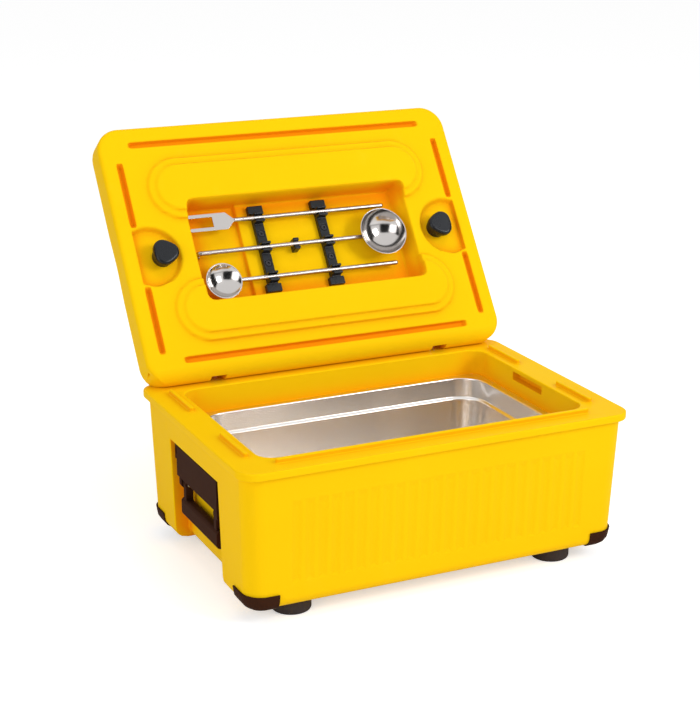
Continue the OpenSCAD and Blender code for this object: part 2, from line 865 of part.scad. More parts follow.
// Grooves in the underside of the lid, from a height up, grown by g
module grooves(z, g) {
    width = groove_w + 2 * g;
    translate([0, 0, z]) linear_extrude(lid_z + groove_d + g - z) {
        translate([0, -tongue_y]) bar(2 * groove_front_half + 2 * g, width);
        translate([0, groove_rear_y]) bar(2 * groove_rear_half + 2 * g, width);
        for (s = [-1, 1], y = groove_side_y) {
            translate([s * tongue_x, y]) rotate(90) bar(groove_side_l + 2 * g, width);
        }
    }
}

// Round notches around the latches, from a height up, grown by g
module notches(z, g) {
    for (s = [-1, 1]) intersection() {
        translate([s * notch_x, latch_y, z]) cylinder(r = notch_r + g, h = lid_z + groove_d + g - z);
        translate([s * (notch_limit + g - rim_l / 4), latch_y, lid_z])
            cube([rim_l / 2, 4 * notch_r, 4 * lid_t], center = true);
    }
}

// The recess that the serving tools lie in, from a height up, grown by g
module tool_space(z, g) {
    depth = tool_d + g;
    mid_x = (tool_x0 + tool_x1) / 2;
    mid_y = (tool_y0 + tool_y1) / 2;
    long = tool_x1 - tool_x0 + 2 * g;
    wide = tool_y1 - tool_y0 + 2 * g;
    intersection() {
        translate([0, mid_y, 0]) along_y(wide + 2) {
            polygon([[tool_x0 - g - 1, z], [tool_x1 + g + 1, z], [tool_x1 + g + 1, max(z, lid_z) + eps],
                [tool_x1 + g, max(z, lid_z) + eps], [tool_x1 - tool_slope + g, lid_z + depth],
                [step_x + g, lid_z + depth], [step_x - step_slope + g, lid_z + depth + step_d],
                [tool_x0 - g - 1, lid_z + depth + step_d]]);
        }
        translate([mid_x, mid_y, z - 1]) linear_extrude(2 * lid_t) rounded(long, wide, tool_corner + g);
    }
}

// Posts behind the tool recess for the rail screws, grown by g
module rail_bosses(g) {
    for (x = rail_x, y = rail_screw_y) {
        translate([x, y, tool_z + eps]) cylinder(r = rail_boss_r + g, h = rail_boss_h + g);
    }
}

// The backs of everything sunk into the underside, grown by g over the skin
module lid_backs(g) {
    back_z = lid_z + panel_t / 2;
    grooves(back_z, block_t + g);
    notches(back_z, block_t + g);
    tool_space(back_z, block_t + g);
    rail_bosses(g);
}

// A raised panel with sloped sides between two places in Y, its rounder corners at one of them
module raised_panel(outer_y, inner_y) {
    side = sign(outer_y - inner_y);
    height = panel_up + panel_t / 2;
    hull() {
        for (s = [-1, 1]) translate([s * panel_x, 0, lid_z - panel_up]) {
            translate([-s * panel_outer_r, outer_y - side * panel_outer_r, 0])
                cylinder(r1 = panel_outer_r - panel_slope, r2 = panel_outer_r, h = height, $fn = hull_fn);
            translate([-s * panel_inner_r, inner_y + side * panel_inner_r, 0])
                cylinder(r1 = panel_inner_r - panel_slope, r2 = panel_inner_r, h = height, $fn = hull_fn);
        }
    }
}

module lid_inner_panel() color(yellow) on_lid() {
    difference() {
        union() {
            difference() {
                lid_form(0);
                translate([-rim_l, -rim_w, split_z]) cube([2 * rim_l, 2 * rim_w, 2 * lid_t]);
                lid_rear_cut();
                lid_room(lid_z + panel_t, 0);
            }
            lid_backs(0);
            raised_panel(panel_front[0], panel_front[1]);
            raised_panel(panel_rear[1], panel_rear[0]);
        }
        grooves(lid_z - 1, 0);
        notches(lid_z - 1, 0);
        tool_space(lid_z - panel_up - 1, 0);
        bush_bores(bush_r + running);
        for (x = rail_x, y = rail_screw_y) {
            translate([x, y, tool_z - 1]) cylinder(r = screw_r + running, h = rail_boss_h);
        }
    }
}

module lid_insulation() color(foam) on_lid() {
    difference() {
        lid_room(lid_z + panel_t + gap, gap);
        lid_backs(gap);
        hinge_blocks(gap);
        scoops(wall_t + gap);
        bush_bores(bush_r + gap);
        lid_rear_cut();
    }
}

module latch_bushings() color(black) on_lid() {
    for (s = [-1, 1]) translate([s * latch_x, latch_y, lid_z + groove_d]) difference() {
        cylinder(r = bush_r, h = seat_z - lid_z - groove_d);
        translate([0, 0, -1]) cylinder(r = spindle_r + running, h = lid_t);
    }
}

// A rounded triangle with a side facing along positive X
module cam_outline() {
    polygon([for (a = [60, 180, 300], e = [-60 : 8 : 60])
        cam_reach * [cos(a), sin(a)] + cam_round * [cos(a + e), sin(a + e)]]);
}

module latch_cam(s) color(black) on_lid() {
    translate([s * latch_x, latch_y, cam_z]) mirror([s < 0 ? 1 : 0, 0, 0]) {
        linear_extrude(cam_t) cam_outline();
        translate([0, 0, cam_t - 1]) cylinder(r = hub_r, h = lid_z + groove_d - gap - cam_z - cam_t + 1);
        translate([0, 0, cam_t + 1]) cylinder(r = spindle_r, h = seat_z + knob_h - 4 - cam_z - cam_t);
    }
}

module latch_cam_left() latch_cam(-1);

module latch_cam_right() latch_cam(1);

module latch_knob(s) color(black) on_lid() {
    translate([s * latch_x, latch_y, seat_z + gap]) difference() {
        union() {
            cylinder(r = knob_r, h = knob_h);
            translate([0, 0, knob_h - 1]) linear_extrude(seat_d - knob_h - 1)
                rotate(90) bar(2 * (knob_r - knob_grip_in), knob_bar);
        }
        translate([0, 0, -1]) cylinder(r = spindle_r + running / 2, h = knob_h - knob_floor + 1);
    }
}

module latch_knob_left() latch_knob(-1);

module latch_knob_right() latch_knob(1);

// A rail with a wider tab at each end and three open jaws that hold the tool handles
module clip_rail(x) color(black) on_lid() {
    rail_l = rail_y1 - rail_y0;
    jaw_l = 2 * (rod_r + rod_gap + jaw_wall);
    difference() {
        union() {
            translate([x, (rail_y0 + rail_y1) / 2, tool_z - rail_t / 2])
                cube([rail_w, rail_l, rail_t], center = true);
            for (y = [rail_y0 + rail_tab_l / 2, rail_y1 - rail_tab_l / 2]) {
                translate([x, y, tool_z - rail_t / 2]) cube([rail_tab_w, rail_tab_l, rail_t], center = true);
            }
            for (y = [fork_y, ladle_y, spoon_y]) {
                translate([x, y, tool_z - rail_t - jaw_h / 2 + 1])
                    cube([rail_w, jaw_l, jaw_h + 2], center = true);
            }
        }
        for (y = [fork_y, ladle_y, spoon_y]) translate([x, y, rod_z]) {
            rotate([0, 90, 0]) cylinder(r = rod_r + rod_gap, h = 2 * rail_tab_w, center = true);
            translate([0, 0, -jaw_h]) cube([2 * rail_tab_w, 2 * (rod_r + rod_gap), 2 * jaw_h], center = true);
        }
        for (y = rail_screw_y) translate([x, y, tool_z - rail_t]) {
            translate([0, 0, -1]) cylinder(r = screw_head_r + screw_head_room, h = screw_head_h + 1);
            cylinder(r = screw_r + running, h = rail_t + 1);
        }
    }
}

module clip_rail_left() clip_rail(rail_x[0]);

module clip_rail_right() clip_rail(rail_x[1]);

module rail_screws() color(steel) on_lid() {
    for (x = rail_x, y = rail_screw_y) {
        translate([x, y, tool_z - rail_t + screw_head_h])
            screw(rail_t - screw_head_h + rail_boss_h - 2);
    }
}

// A small open clip under the middle of the ladle handle
module centre_clip() color(black) on_lid() {
    clip_h = tool_z - rod_z + rod_r;
    translate([clip_x, ladle_y, 0]) difference() {
        translate([0, 0, tool_z - clip_h / 2]) cube([clip_l, clip_w, clip_h], center = true);
        translate([0, 0, rod_z]) rotate([0, 90, 0])
            cylinder(r = rod_r + rod_gap, h = 4 * clip_l, center = true);
        translate([0, 0, rod_z - clip_h])
            cube([4 * clip_l, 2 * (rod_r + rod_gap), 2 * clip_h], center = true);
    }
}

module fork_head() color(steel) on_lid() {
    plate_x = fork_root + fork_plate_l;
    stem_x = fork_neck - fork_stem_l;
    translate([0, fork_y, rod_z]) {
        translate([0, 0, -fork_t / 2]) linear_extrude(fork_t) {
            polygon([[fork_root, fork_half], [fork_root, -fork_half], [plate_x, -fork_half],
                [stem_x, -fork_stem], [fork_neck, -fork_stem], [fork_neck, fork_stem], [stem_x, fork_stem],
                [plate_x, fork_half]]);
            for (s = [-1, 1]) translate([fork_tip + tine_half, s * (fork_half - tine_half)]) {
                translate([0, -tine_half]) square([fork_tine_l - tine_half + 1, 2 * tine_half]);
                circle(tine_half);
            }
        }
        rod(fork_neck - sleeve_half, fork_neck + sleeve_half, rod_r);
    }
}

module fork_handle() color(steel) on_lid() {
    translate([0, fork_y, rod_z]) {
        rod(fork_neck + sleeve_half, fork_end - rod_r, rod_r);
        translate([fork_end - rod_r, 0, 0]) sphere(rod_r);
    }
}

module ladle_bowl() color(steel) on_lid() {
    translate([ladle_x, ladle_y, 0]) {
        difference() {
            translate([0, 0, ladle_ball_z]) sphere(ladle_ball);
            translate([0, 0, ladle_ball_z]) sphere(ladle_ball - ladle_t);
            translate([0, 0, ladle_rim_z - ladle_ball * 2])
                cube([4 * ladle_ball, 4 * ladle_ball, 4 * ladle_ball], center = true);
        }
    }
}

module ladle_handle() color(steel) on_lid() {
    difference() {
        translate([0, ladle_y, rod_z]) rod(hook_x, ladle_x, rod_r);
        translate([ladle_x, ladle_y, ladle_ball_z]) sphere(ladle_ball + eps);
    }
    translate([hook_x, ladle_y, rod_z + hook_r]) rotate([0, -90, 0]) rotate([90, 0, 0])
        rotate_extrude(angle = 180) translate([hook_r, 0]) circle(rod_r);
}

module spoon_head() color(steel) on_lid() {
    translate([spoon_x, spoon_y, 0]) {
        difference() {
            translate([0, 0, spoon_ball_z]) sphere(spoon_ball);
            translate([0, 0, spoon_ball_z]) sphere(spoon_ball - spoon_t);
            translate([0, 0, spoon_bottom - spoon_depth - 2 * spoon_ball])
                cube([4 * spoon_ball, 4 * spoon_ball, 4 * spoon_ball], center = true);
        }
    }
    difference() {
        translate([0, spoon_y, rod_z]) rod(spoon_x, spoon_neck, rod_r);
        translate([spoon_x, spoon_y, spoon_ball_z]) sphere(spoon_ball - spoon_t / 2);
    }
}

module spoon_handle() color(steel) on_lid() {
    translate([0, spoon_y, rod_z]) {
        rod(spoon_neck, fork_end - rod_r, rod_r);
        translate([fork_end - rod_r, 0, 0]) sphere(rod_r);
    }
}

tub_outer_shell();
tub_inner_liner();
tub_insulation();
food_pan();
guard_front_left();
guard_front_right();
guard_rear_left();
guard_rear_right();
foot_front_left();
foot_front_right();
foot_rear_left();
foot_rear_right();
foot_screws();
handle_bracket_left();
handle_bracket_right();
handle_bail_left();
handle_bail_right();
handle_pins();
handle_screws();
hinge_arm_left();
hinge_arm_right();
hinge_pins();
hinge_screws();
lid_outer_shell();
lid_inner_panel();
lid_insulation();
latch_bushings();
latch_cam_left();
latch_cam_right();
latch_knob_left();
latch_knob_right();
clip_rail_left();
clip_rail_right();
rail_screws();
centre_clip();
fork_head();
fork_handle();
ladle_bowl();
ladle_handle();
spoon_head();
spoon_handle();
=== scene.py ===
"""Looks of the insulated food carrier: finishes, moulded detail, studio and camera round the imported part."""

import json
import logging
import math
from dataclasses import dataclass, field, replace
from enum import Enum
from functools import partial
from typing import Any, Callable, Iterable, Union

import bmesh
import bpy
from mathutils import Matrix, Quaternion, Vector


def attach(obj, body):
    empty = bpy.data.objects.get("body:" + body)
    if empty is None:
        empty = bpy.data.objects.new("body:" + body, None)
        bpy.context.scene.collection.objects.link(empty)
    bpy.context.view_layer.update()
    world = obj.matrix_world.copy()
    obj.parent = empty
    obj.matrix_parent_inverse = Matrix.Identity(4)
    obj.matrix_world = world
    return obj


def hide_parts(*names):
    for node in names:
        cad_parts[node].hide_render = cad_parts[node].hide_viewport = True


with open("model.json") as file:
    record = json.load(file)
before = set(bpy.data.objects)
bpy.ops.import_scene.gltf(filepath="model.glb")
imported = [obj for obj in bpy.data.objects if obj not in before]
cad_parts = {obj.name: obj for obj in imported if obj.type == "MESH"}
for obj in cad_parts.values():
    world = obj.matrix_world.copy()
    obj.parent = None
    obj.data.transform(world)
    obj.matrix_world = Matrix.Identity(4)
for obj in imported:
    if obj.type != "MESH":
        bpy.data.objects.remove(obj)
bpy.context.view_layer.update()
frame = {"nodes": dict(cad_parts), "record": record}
LOG = logging.getLogger("food_carrier")
MM = 0.001
SIDES = ("left", "right")
CORNERS = tuple(f"{end}_{side}" for end in ("front", "rear") for side in SIDES)
BODY_OF = {node: body for body, nodes in frame["record"]["behaviour"]["bodies"].items() for node in nodes}
SCREW_ROUND_MM = 0.4
SCREW_STEPS = 2
Material = bpy.types.Material
Shape = bmesh.types.BMesh
Edge = bmesh.types.BMEdge
Vert = bmesh.types.BMVert
Point = tuple[float, float]
Triple = tuple[float, float, float]
Box = tuple[float, float, float, float]
Colour = Triple
Loop = Triple
Ring = tuple[Point, Point, float]
Value = Union["Wire", float, int]
Width = Callable[[Edge], float]


class Wire:
    """A shader socket that takes part in Python expressions."""

    def __init__(self, shader: "Shader", socket: bpy.types.NodeSocket) -> None:
        """Keeps the socket and the shader that it belongs to."""
        self.shader = shader
        self.socket = socket

    def _math(self, operation: str, first: Value, second: Value) -> "Wire":
        """Adds one Math node.

        Args:
            operation: The Math node's operation.
            first: The first operand.
            second: The second operand.

        Returns:
            The node's result.
        """
        return self.shader.node("ShaderNodeMath", {"operation": operation}, {0: first, 1: second})

    def __add__(self, other: Value) -> "Wire":
        """Adds a value."""
        return self._math("ADD", self, other)

    def __sub__(self, other: Value) -> "Wire":
        """Takes a value away."""
        return self._math("SUBTRACT", self, other)

    def __rsub__(self, other: Value) -> "Wire":
        """Takes this from a value."""
        return self._math("SUBTRACT", other, self)

    def __mul__(self, other: Value) -> "Wire":
        """Multiplies by a value."""
        return self._math("MULTIPLY", self, other)

    __radd__ = __add__
    __rmul__ = __mul__

    def sharpen(self, low: float, high: float) -> "Wire":
        """Stretches the span from low to high over 0 to 1, clamped."""
        return self.shader.node(
            "ShaderNodeMapRange", {"clamp": True}, {"Value": self, "From Min": low, "From Max": high}
        )


class Shader:
    """The node tree of a material or a world, built node by node."""

    def __init__(self, owner: Material | bpy.types.World, surface: str = "Principled BSDF") -> None:
        """Takes an owner's new tree and the shader node that is to be fed."""
        owner.use_nodes = True
        self.owner = owner
        self.tree = owner.node_tree
        self.surface = self.tree.nodes[surface]

    @classmethod
    def for_material(cls, name: str) -> "Shader":
        """Starts a material that holds one Principled shader."""
        return cls(bpy.data.materials.new(name))

    def node(
        self,
        kind: str,
        settings: dict[str, Any] | None = None,
        inputs: dict[str | int, Any] | None = None,
        output: str | int = 0,
    ) -> Wire:
        """Adds a node of any type.

        Args:
            kind: The node's type name.
            settings: Properties that are set before the sockets.
            inputs: Values or wires by socket name or number.
            output: The socket that is handed on.

        Returns:
            The chosen output.
        """
        made = self.tree.nodes.new(kind)
        for name, value in (settings or {}).items():
            setattr(made, name, value)
        for name, value in (inputs or {}).items():
            self._feed(made.inputs[name], value)
        return Wire(self, made.outputs[output])

    def _feed(self, socket: bpy.types.NodeSocket, value: Any) -> None:
        """Links a wire to a socket, or sets the socket's own value."""
        if isinstance(value, Wire):
            self.tree.links.new(value.socket, socket)
        elif socket.type == "RGBA" and len(value) == 3:
            socket.default_value = (*value, 1.0)
        else:
            socket.default_value = value

    def place(self, scale: Triple = (1.0, 1.0, 1.0)) -> Wire:
        """Object coordinates, scaled along each axis."""
        at = self.node("ShaderNodeTexCoord", output="Object")
        return self.node("ShaderNodeMapping", {}, {"Vector": at, "Scale": scale})

    def noise(self, scale: float, detail: float = 2.0, at: Wire | None = None) -> Wire:
        """A noise value of a given scale per metre."""
        return self.node(
            "ShaderNodeTexNoise", {}, {"Vector": at or self.place(), "Scale": scale, "Detail": detail}
        )

    def blend(self, share: Value, first: Any, second: Any) -> Wire:
        """Mixes two colours by a share, through the sockets that a Mix node keeps for colours."""
        sockets = {0: share, 6: first, 7: second}
        return self.node("ShaderNodeMix", {"data_type": "RGBA"}, sockets, output=2)

    def bump(self, height: Wire, depth: float) -> Wire:
        """A bump of a full depth in metres from a height between 0 and 1."""
        return self.node("ShaderNodeBump", {}, {"Strength": 1.0, "Distance": depth, "Height": height})

    def finish(self, **sockets: Any) -> Any:
        """Feeds the shader node and hands on the tree's owner.

        Args:
            **sockets: Values or wires by socket name, with underscores for spaces.

        Returns:
            The finished material or world.
        """
        for name, value in sockets.items():
            self._feed(self.surface.inputs[name.replace("_", " ")], value)
        return self.owner


def shade(colour: Colour, factor: float, lift: float = 0.0) -> Colour:
    """A colour made darker or paler by a factor and a lift, up to full."""
    return tuple(min(1.0, part * factor + lift) for part in colour)


@dataclass(frozen=True)
class MouldedPlastic:
    """A moulded plastic with flow marks, fine grain, paler rubbed patches, and painted shade: a deeper, more
    orange colour in its hollows, found by an occlusion test.
    """

    name: str
    colour: Colour
    deep: Colour
    # The next colour and the four fields after it paint shade into hollows: its colour, how much of it, how
    # far the occlusion test reaches, the span of occlusion stretched to full, and the test's samples.
    painted_shade: Colour
    roughness: float
    shine: float
    gloss_tint: Colour
    painted_shade_share: float = 0.9
    painted_shade_mm: float = 45.0
    painted_shade_span: Point = (0.05, 0.28)
    painted_shade_samples: int = 8
    cloud_scale: float = 5.0
    cloud_share: float = 0.55
    mottle_scale: float = 60.0
    mottle_rough: float = 0.10
    streak_scale: float = 38.0
    streak_lay: Triple = (1.0, 1.0, 0.14)
    rub_share: float = 0.14
    rub_rough: float = 0.08
    grain_mm: float = 0.05
    grain_scale: float = 700.0
    grain_share: float = 0.65

    def material(self) -> Material:
        """Builds the material."""
        shader = Shader.for_material(self.name)
        cloud = shader.noise(self.cloud_scale, 3.0)
        mottle = shader.noise(self.mottle_scale, 4.0)
        grain = shader.noise(self.grain_scale, 2.0)
        streak = shader.noise(self.streak_scale, 5.0, shader.place(self.streak_lay))
        rub = streak.sharpen(0.58, 0.8) * mottle.sharpen(0.35, 0.7)
        tone = shader.blend(cloud.sharpen(0.3, 0.75) * self.cloud_share, self.colour, self.deep)
        worn = shader.blend(rub * self.rub_share, tone, shade(self.colour, 1.08, 0.03))
        # Painted shade: where the occlusion test finds the surface closed in, the colour is drawn towards a
        # deeper orange, standing in for shade and bounced light in hollows, grooves and seams.
        open_share = shader.node(
            "ShaderNodeAmbientOcclusion",
            {"samples": self.painted_shade_samples, "only_local": True},
            {"Distance": self.painted_shade_mm * MM},
            output="AO",
        )
        sunk = (1.0 - open_share).sharpen(*self.painted_shade_span)
        rough = self.roughness + self.mottle_rough * (mottle - 0.5) + self.rub_rough * rub
        height = self.grain_share * grain + (1.0 - self.grain_share) * mottle
        return shader.finish(
            # The base colour takes the painted shade in hollows on top of the plastic's own tones.
            Base_Color=shader.blend(sunk * self.painted_shade_share, worn, self.painted_shade),
            Roughness=rough,
            Normal=shader.bump(height, self.grain_mm * MM),
            Specular_IOR_Level=self.shine,
            Specular_Tint=self.gloss_tint,
        )


class Lay(Enum):
    """The way in which a steel surface was brushed or polished."""

    ALONG = (0.06, 1.0, 1.0)
    ROUND = (1.0, 1.0, 1.0)


@dataclass(frozen=True)
class Stainless:
    """Stainless steel with fine brush lines and faint smears."""

    name: str
    colour: Colour
    roughness: float
    lay: Lay = Lay.ALONG
    line_mm: float = 0.006
    line_scale: float = 260.0
    line_rough: float = 0.05
    smear_scale: float = 14.0
    smear_share: float = 0.4
    smear_rough: float = 0.06

    def material(self) -> Material:
        """Builds the material."""
        shader = Shader.for_material(self.name)
        lines = shader.noise(self.line_scale, 2.0, shader.place(self.lay.value))
        smear = shader.noise(self.smear_scale, 4.0)
        smeared = smear.sharpen(0.3, 0.75) * self.smear_share
        rough = self.roughness + self.line_rough * (lines - 0.5) + self.smear_rough * (smear - 0.5)
        return shader.finish(
            Base_Color=shader.blend(smeared, self.colour, shade(self.colour, 0.9)),
            Metallic=1.0,
            Roughness=rough,
            Normal=shader.bump(lines, self.line_mm * MM),
        )


@dataclass(frozen=True)
class Rubber:
    """Matt rubber with a coarse grain and dusty patches."""

    name: str
    colour: Colour
    roughness: float = 0.72
    grain_mm: float = 0.12
    grain_scale: float = 520.0
    grain_rough: float = 0.16
    dust_scale: float = 34.0
    dust_share: float = 0.35
    dust_rough: float = 0.1

    def material(self) -> Material:
        """Builds the material."""
        shader = Shader.for_material(self.name)
        grain = shader.noise(self.grain_scale, 4.0)
        dust = shader.noise(self.dust_scale, 5.0).sharpen(0.52, 0.8)
        return shader.finish(
            Base_Color=shader.blend(dust * self.dust_share, self.colour, shade(self.colour, 1.0, 0.05)),
            Roughness=self.roughness + self.grain_rough * (grain - 0.5) + self.dust_rough * dust,
            Normal=shader.bump(grain, self.grain_mm * MM),
        )


@dataclass(frozen=True)
class Foam:
    """Pale closed-cell foam with a pitted skin."""

    name: str
    colour: Colour
    roughness: float = 0.9
    cell_mm: float = 0.4
    cell_scale: float = 420.0
    cell_rough: float = 0.06
    cloud_scale: float = 22.0

    def material(self) -> Material:
        """Builds the material."""
        shader = Shader.for_material(self.name)
        cells = shader.node("ShaderNodeTexVoronoi", {}, {"Vector": shader.place(), "Scale": self.cell_scale})
        cloud = shader.noise(self.cloud_scale, 3.0)
        return shader.finish(
            Base_Color=shader.blend(cloud.sharpen(0.35, 0.7), self.colour, shade(self.colour, 0.85)),
            Roughness=self.roughness + self.cell_rough * (cells - 0.5),
            Normal=shader.bump(cells, self.cell_mm * MM),
        )


@dataclass
class Finishes:
    """Every finish on the carrier, made once and shared by its pieces."""

    yellow: Material = field(init=False)
    liner: Material = field(init=False)
    brown: Material = field(init=False)
    black: Material = field(init=False)
    rubber: Material = field(init=False)
    foam: Material = field(init=False)
    pan: Material = field(init=False)
    tool: Material = field(init=False)
    rod: Material = field(init=False)
    screw: Material = field(init=False)
    dark_screw: Material = field(init=False)

    def __post_init__(self) -> None:
        """Builds the materials."""
        yellow = MouldedPlastic(
            name="yellow_plastic",
            colour=(0.96, 0.59, 0.004),
            deep=(0.93, 0.54, 0.003),
            # The colour of the shade painted into hollows: a deep orange.
            painted_shade=(0.88, 0.28, 0.003),
            roughness=0.40,
            shine=0.02,
            gloss_tint=(1.0, 0.72, 0.14),
        )
        self.yellow = yellow.material()
        # The liner gets the shade painted into its hollows at half strength.
        self.liner = replace(yellow, name="yellow_liner_plastic", painted_shade_share=0.45).material()
        self.brown = MouldedPlastic(
            name="brown_plastic",
            colour=(0.046, 0.017, 0.009),
            deep=(0.036, 0.013, 0.007),
            # The colour of the shade painted into hollows: a darker brown.
            painted_shade=(0.020, 0.007, 0.004),
            roughness=0.44,
            shine=0.01,
            gloss_tint=(1.0, 0.6, 0.36),
        ).material()
        self.black = MouldedPlastic(
            name="black_plastic",
            colour=(0.008, 0.008, 0.010),
            deep=(0.006, 0.006, 0.007),
            # The colour of the shade painted into hollows: a near black.
            painted_shade=(0.004, 0.004, 0.005),
            roughness=0.28,
            shine=0.35,
            gloss_tint=(0.9, 0.95, 1.0),
        ).material()
        self.rubber = Rubber("foot_rubber", (0.026, 0.014, 0.011)).material()
        self.foam = Foam("foam", (0.80, 0.74, 0.58)).material()
        self.pan = Stainless("pan_steel", (0.86, 0.83, 0.80), 0.23, Lay.ALONG, 0.002).material()
        self.tool = Stainless("tool_steel", (0.60, 0.57, 0.55), 0.15, Lay.ROUND, 0.003).material()
        self.rod = Stainless("rod_steel", (0.46, 0.42, 0.39), 0.26, Lay.ROUND, 0.003).material()
        self.screw = Stainless("screw_steel", (0.50, 0.50, 0.51), 0.34, Lay.ROUND).material()
        self.dark_screw = Stainless("blackened_steel", (0.045, 0.045, 0.05), 0.36, Lay.ROUND).material()

    def dress(self, material: Material, names: Iterable[str]) -> None:
        """Gives a material to CAD nodes.

        Args:
            material: The material.
            names: The nodes' names.
        """
        for name in names:
            mesh = frame["nodes"][name].data
            mesh.materials.clear()
            mesh.materials.append(material)
            LOG.info("%s wears %s", name, material.name)


def middle_mm(edge: Edge) -> Vector:
    """The middle of an edge in millimetres."""
    return (edge.verts[0].co + edge.verts[1].co) / (2.0 * MM)


def stand_in(shape: Shape, node: str, material: Material) -> bpy.types.Object:
    """Makes a mesh into a piece that is shown in a CAD node's place and moves with its body.

    Args:
        shape: The mesh, which is used up.
        node: The node's name.
        material: The finish.

    Returns:
        The piece.
    """
    mesh = bpy.data.meshes.new(f"{node}_piece")
    for face in shape.faces:
        face.smooth = True
    shape.to_mesh(mesh)
    shape.free()
    mesh.materials.append(material)
    piece = bpy.data.objects.new(mesh.name, mesh)
    bpy.context.collection.objects.link(piece)
    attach(piece, BODY_OF[node])
    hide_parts(node)
    LOG.info("%s stands for %s on %s", piece.name, node, BODY_OF[node])
    return piece


def draw_ring(shape: Shape, ring: list[Edge], move: Callable[[Vector], Vector]) -> list[Edge]:
    """Extrudes a ring of edges.

    Args:
        shape: The mesh.
        ring: The ring's edges.
        move: Where a place on the ring goes, both in millimetres.

    Returns:
        The new ring's edges.
    """
    made = bmesh.ops.extrude_edge_only(shape, edges=ring)["geom"]
    for vert in (item for item in made if isinstance(item, Vert)):
        vert.co = move(vert.co / MM) * MM
    return [item for item in made if isinstance(item, Edge) and item.is_boundary]


def even_shading(piece: bpy.types.Object) -> None:
    """Makes large flat faces shade flat beside small rounded ones."""
    piece.modifiers.new("shading", "WEIGHTED_NORMAL").keep_sharp = True


@dataclass
class Moulding:
    """A copy of a CAD node with rounded edges, which is shown in the node's place."""

    node: str
    flat_deg: float = 0.6
    merge_mm: float = 0.02
    sharp_deg: float = 32.0
    shape: Shape = field(init=False)

    def __post_init__(self) -> None:
        """Copies the node, joins its triangles and clears the lines across its flat faces."""
        self.shape = bmesh.new()
        self.shape.from_mesh(frame["nodes"][self.node].data)
        bmesh.ops.remove_doubles(self.shape, verts=self.shape.verts, dist=self.merge_mm * MM)
        bmesh.ops.dissolve_limit(
            self.shape,
            angle_limit=math.radians(self.flat_deg),
            use_dissolve_boundaries=False,
            verts=self.shape.verts,
            edges=self.shape.edges,
        )
        bmesh.ops.dissolve_degenerate(self.shape, dist=0.5 * self.merge_mm * MM, edges=self.shape.edges)

    def cast(self, material: Material, width: Width | float, segments: int = 3) -> None:
        """Rounds the sharp edges and puts the piece in place of its node.

        Args:
            material: The finish.
            width: How far each sharp edge is rounded, in millimetres, for all edges or by edge.
            segments: The number of steps in a rounded edge.
        """
        weight = self.shape.edges.layers.float.new("bevel_weight_edge")
        limit = math.radians(self.sharp_deg)
        sharp = [edge for edge in self.shape.edges if edge.is_manifold and edge.calc_face_angle(0.0) > limit]
        widths = [width(edge) if callable(width) else width for edge in sharp]
        widest = max(widths, default=1.0)
        for edge, span in zip(sharp, widths):
            edge[weight] = span / widest
            edge.smooth = span > 0.0
        piece = stand_in(self.shape, self.node, material)
        rounding = piece.modifiers.new("rounding", "BEVEL")
        rounding.limit_method = "WEIGHT"
        rounding.width = widest * MM
        rounding.segments = segments
        rounding.profile = 0.5
        rounding.use_clamp_overlap = False
        rounding.loop_slide = False
        even_shading(piece)


def cast_all(names: Iterable[str], material: Material, width: Width | float, segments: int = 3) -> None:
    """Rounds and dresses several nodes alike.

    Args:
        names: The nodes' names.
        material: The finish.
        width: How far their edges are rounded, in millimetres, for all edges or by edge.
        segments: The number of steps in a rounded edge.
    """
    for name in names:
        Moulding(name).cast(material, width, segments)


def cast_screws(names: Iterable[str], material: Material) -> None:
    """Rounds and dresses screws and pins, whose edges are fine."""
    cast_all(names, material, SCREW_ROUND_MM, SCREW_STEPS)


def ease(depth: float, span: float) -> float:
    """A soft step from 0 to 1 over a span."""
    share = min(1.0, max(0.0, depth / span))
    return share * share * (3.0 - 2.0 * share)


def depth_in_box(x: float, y: float, box: Box, corner: float) -> float:
    """How deep a point lies inside a rounded rectangle.

    Args:
        x: The point's place along x.
        y: The point's place along y.
        box: The rectangle's lowest x and y and its highest x and y.
        corner: The radius of its corners.

    Returns:
        The depth, negative outside.
    """
    across = abs(x - (box[0] + box[2]) / 2.0) - (box[2] - box[0]) / 2.0 + corner
    along = abs(y - (box[1] + box[3]) / 2.0) - (box[3] - box[1]) / 2.0 + corner
    return corner - math.hypot(max(across, 0.0), max(along, 0.0)) - min(max(across, along), 0.0)


def depth_in_bar(x: float, y: float, start: Point, end: Point, radius: float) -> float:
    """How deep a point lies inside a bar with round ends that runs along x or y.

    Args:
        x: The point's place along x.
        y: The point's place along y.
        start: The lower end of the bar's middle line.
        end: The upper end of the bar's middle line.
        radius: Half the bar's width.

    Returns:
        The depth, negative outside.
    """
    near_x = min(max(x, start[0]), end[0])
    near_y = min(max(y, start[1]), end[1])
    return radius - math.hypot(x - near_x, y - near_y)


def steps(start: float, end: float, count: int = 4) -> list[float]:
    """Evenly spaced values from a start to an end, both included."""
    return [start + (end - start) * k / count for k in range(count + 1)]


def grid_lines(
    marks: Iterable[float], low: float, high: float, pitch: float, gap: float = 0.05
) -> list[float]:
    """Grid lines at the marks between two ends, with more between them where they lie far apart.

    Args:
        marks: Places that need a line.
        low: The first line.
        high: The last line.
        pitch: The widest space between lines.
        gap: How near an end a mark is left out.

    Returns:
        The lines in order.
    """
    fixed = sorted({low, high, *(round(mark, 3) for mark in marks if low + gap < mark < high - gap)})
    lines = [low]
    for start, end in zip(fixed, fixed[1:]):
        lines += steps(start, end, math.ceil((end - start) / pitch))[1:]
    return lines


def bore_free(width_mm: float, fine_mm: float, bore_step_mm: float) -> Width:
    """A rounding for all edges but the short steps of small bores, which get their own.

    Args:
        width_mm: The rounding of an edge.
        fine_mm: The rounding of a bore's edge.
        bore_step_mm: The length under which an edge is a step of a bore.

    Returns:
        The rounding by edge.
    """
    return lambda edge: fine_mm if edge.calc_length() < bore_step_mm * MM else width_mm


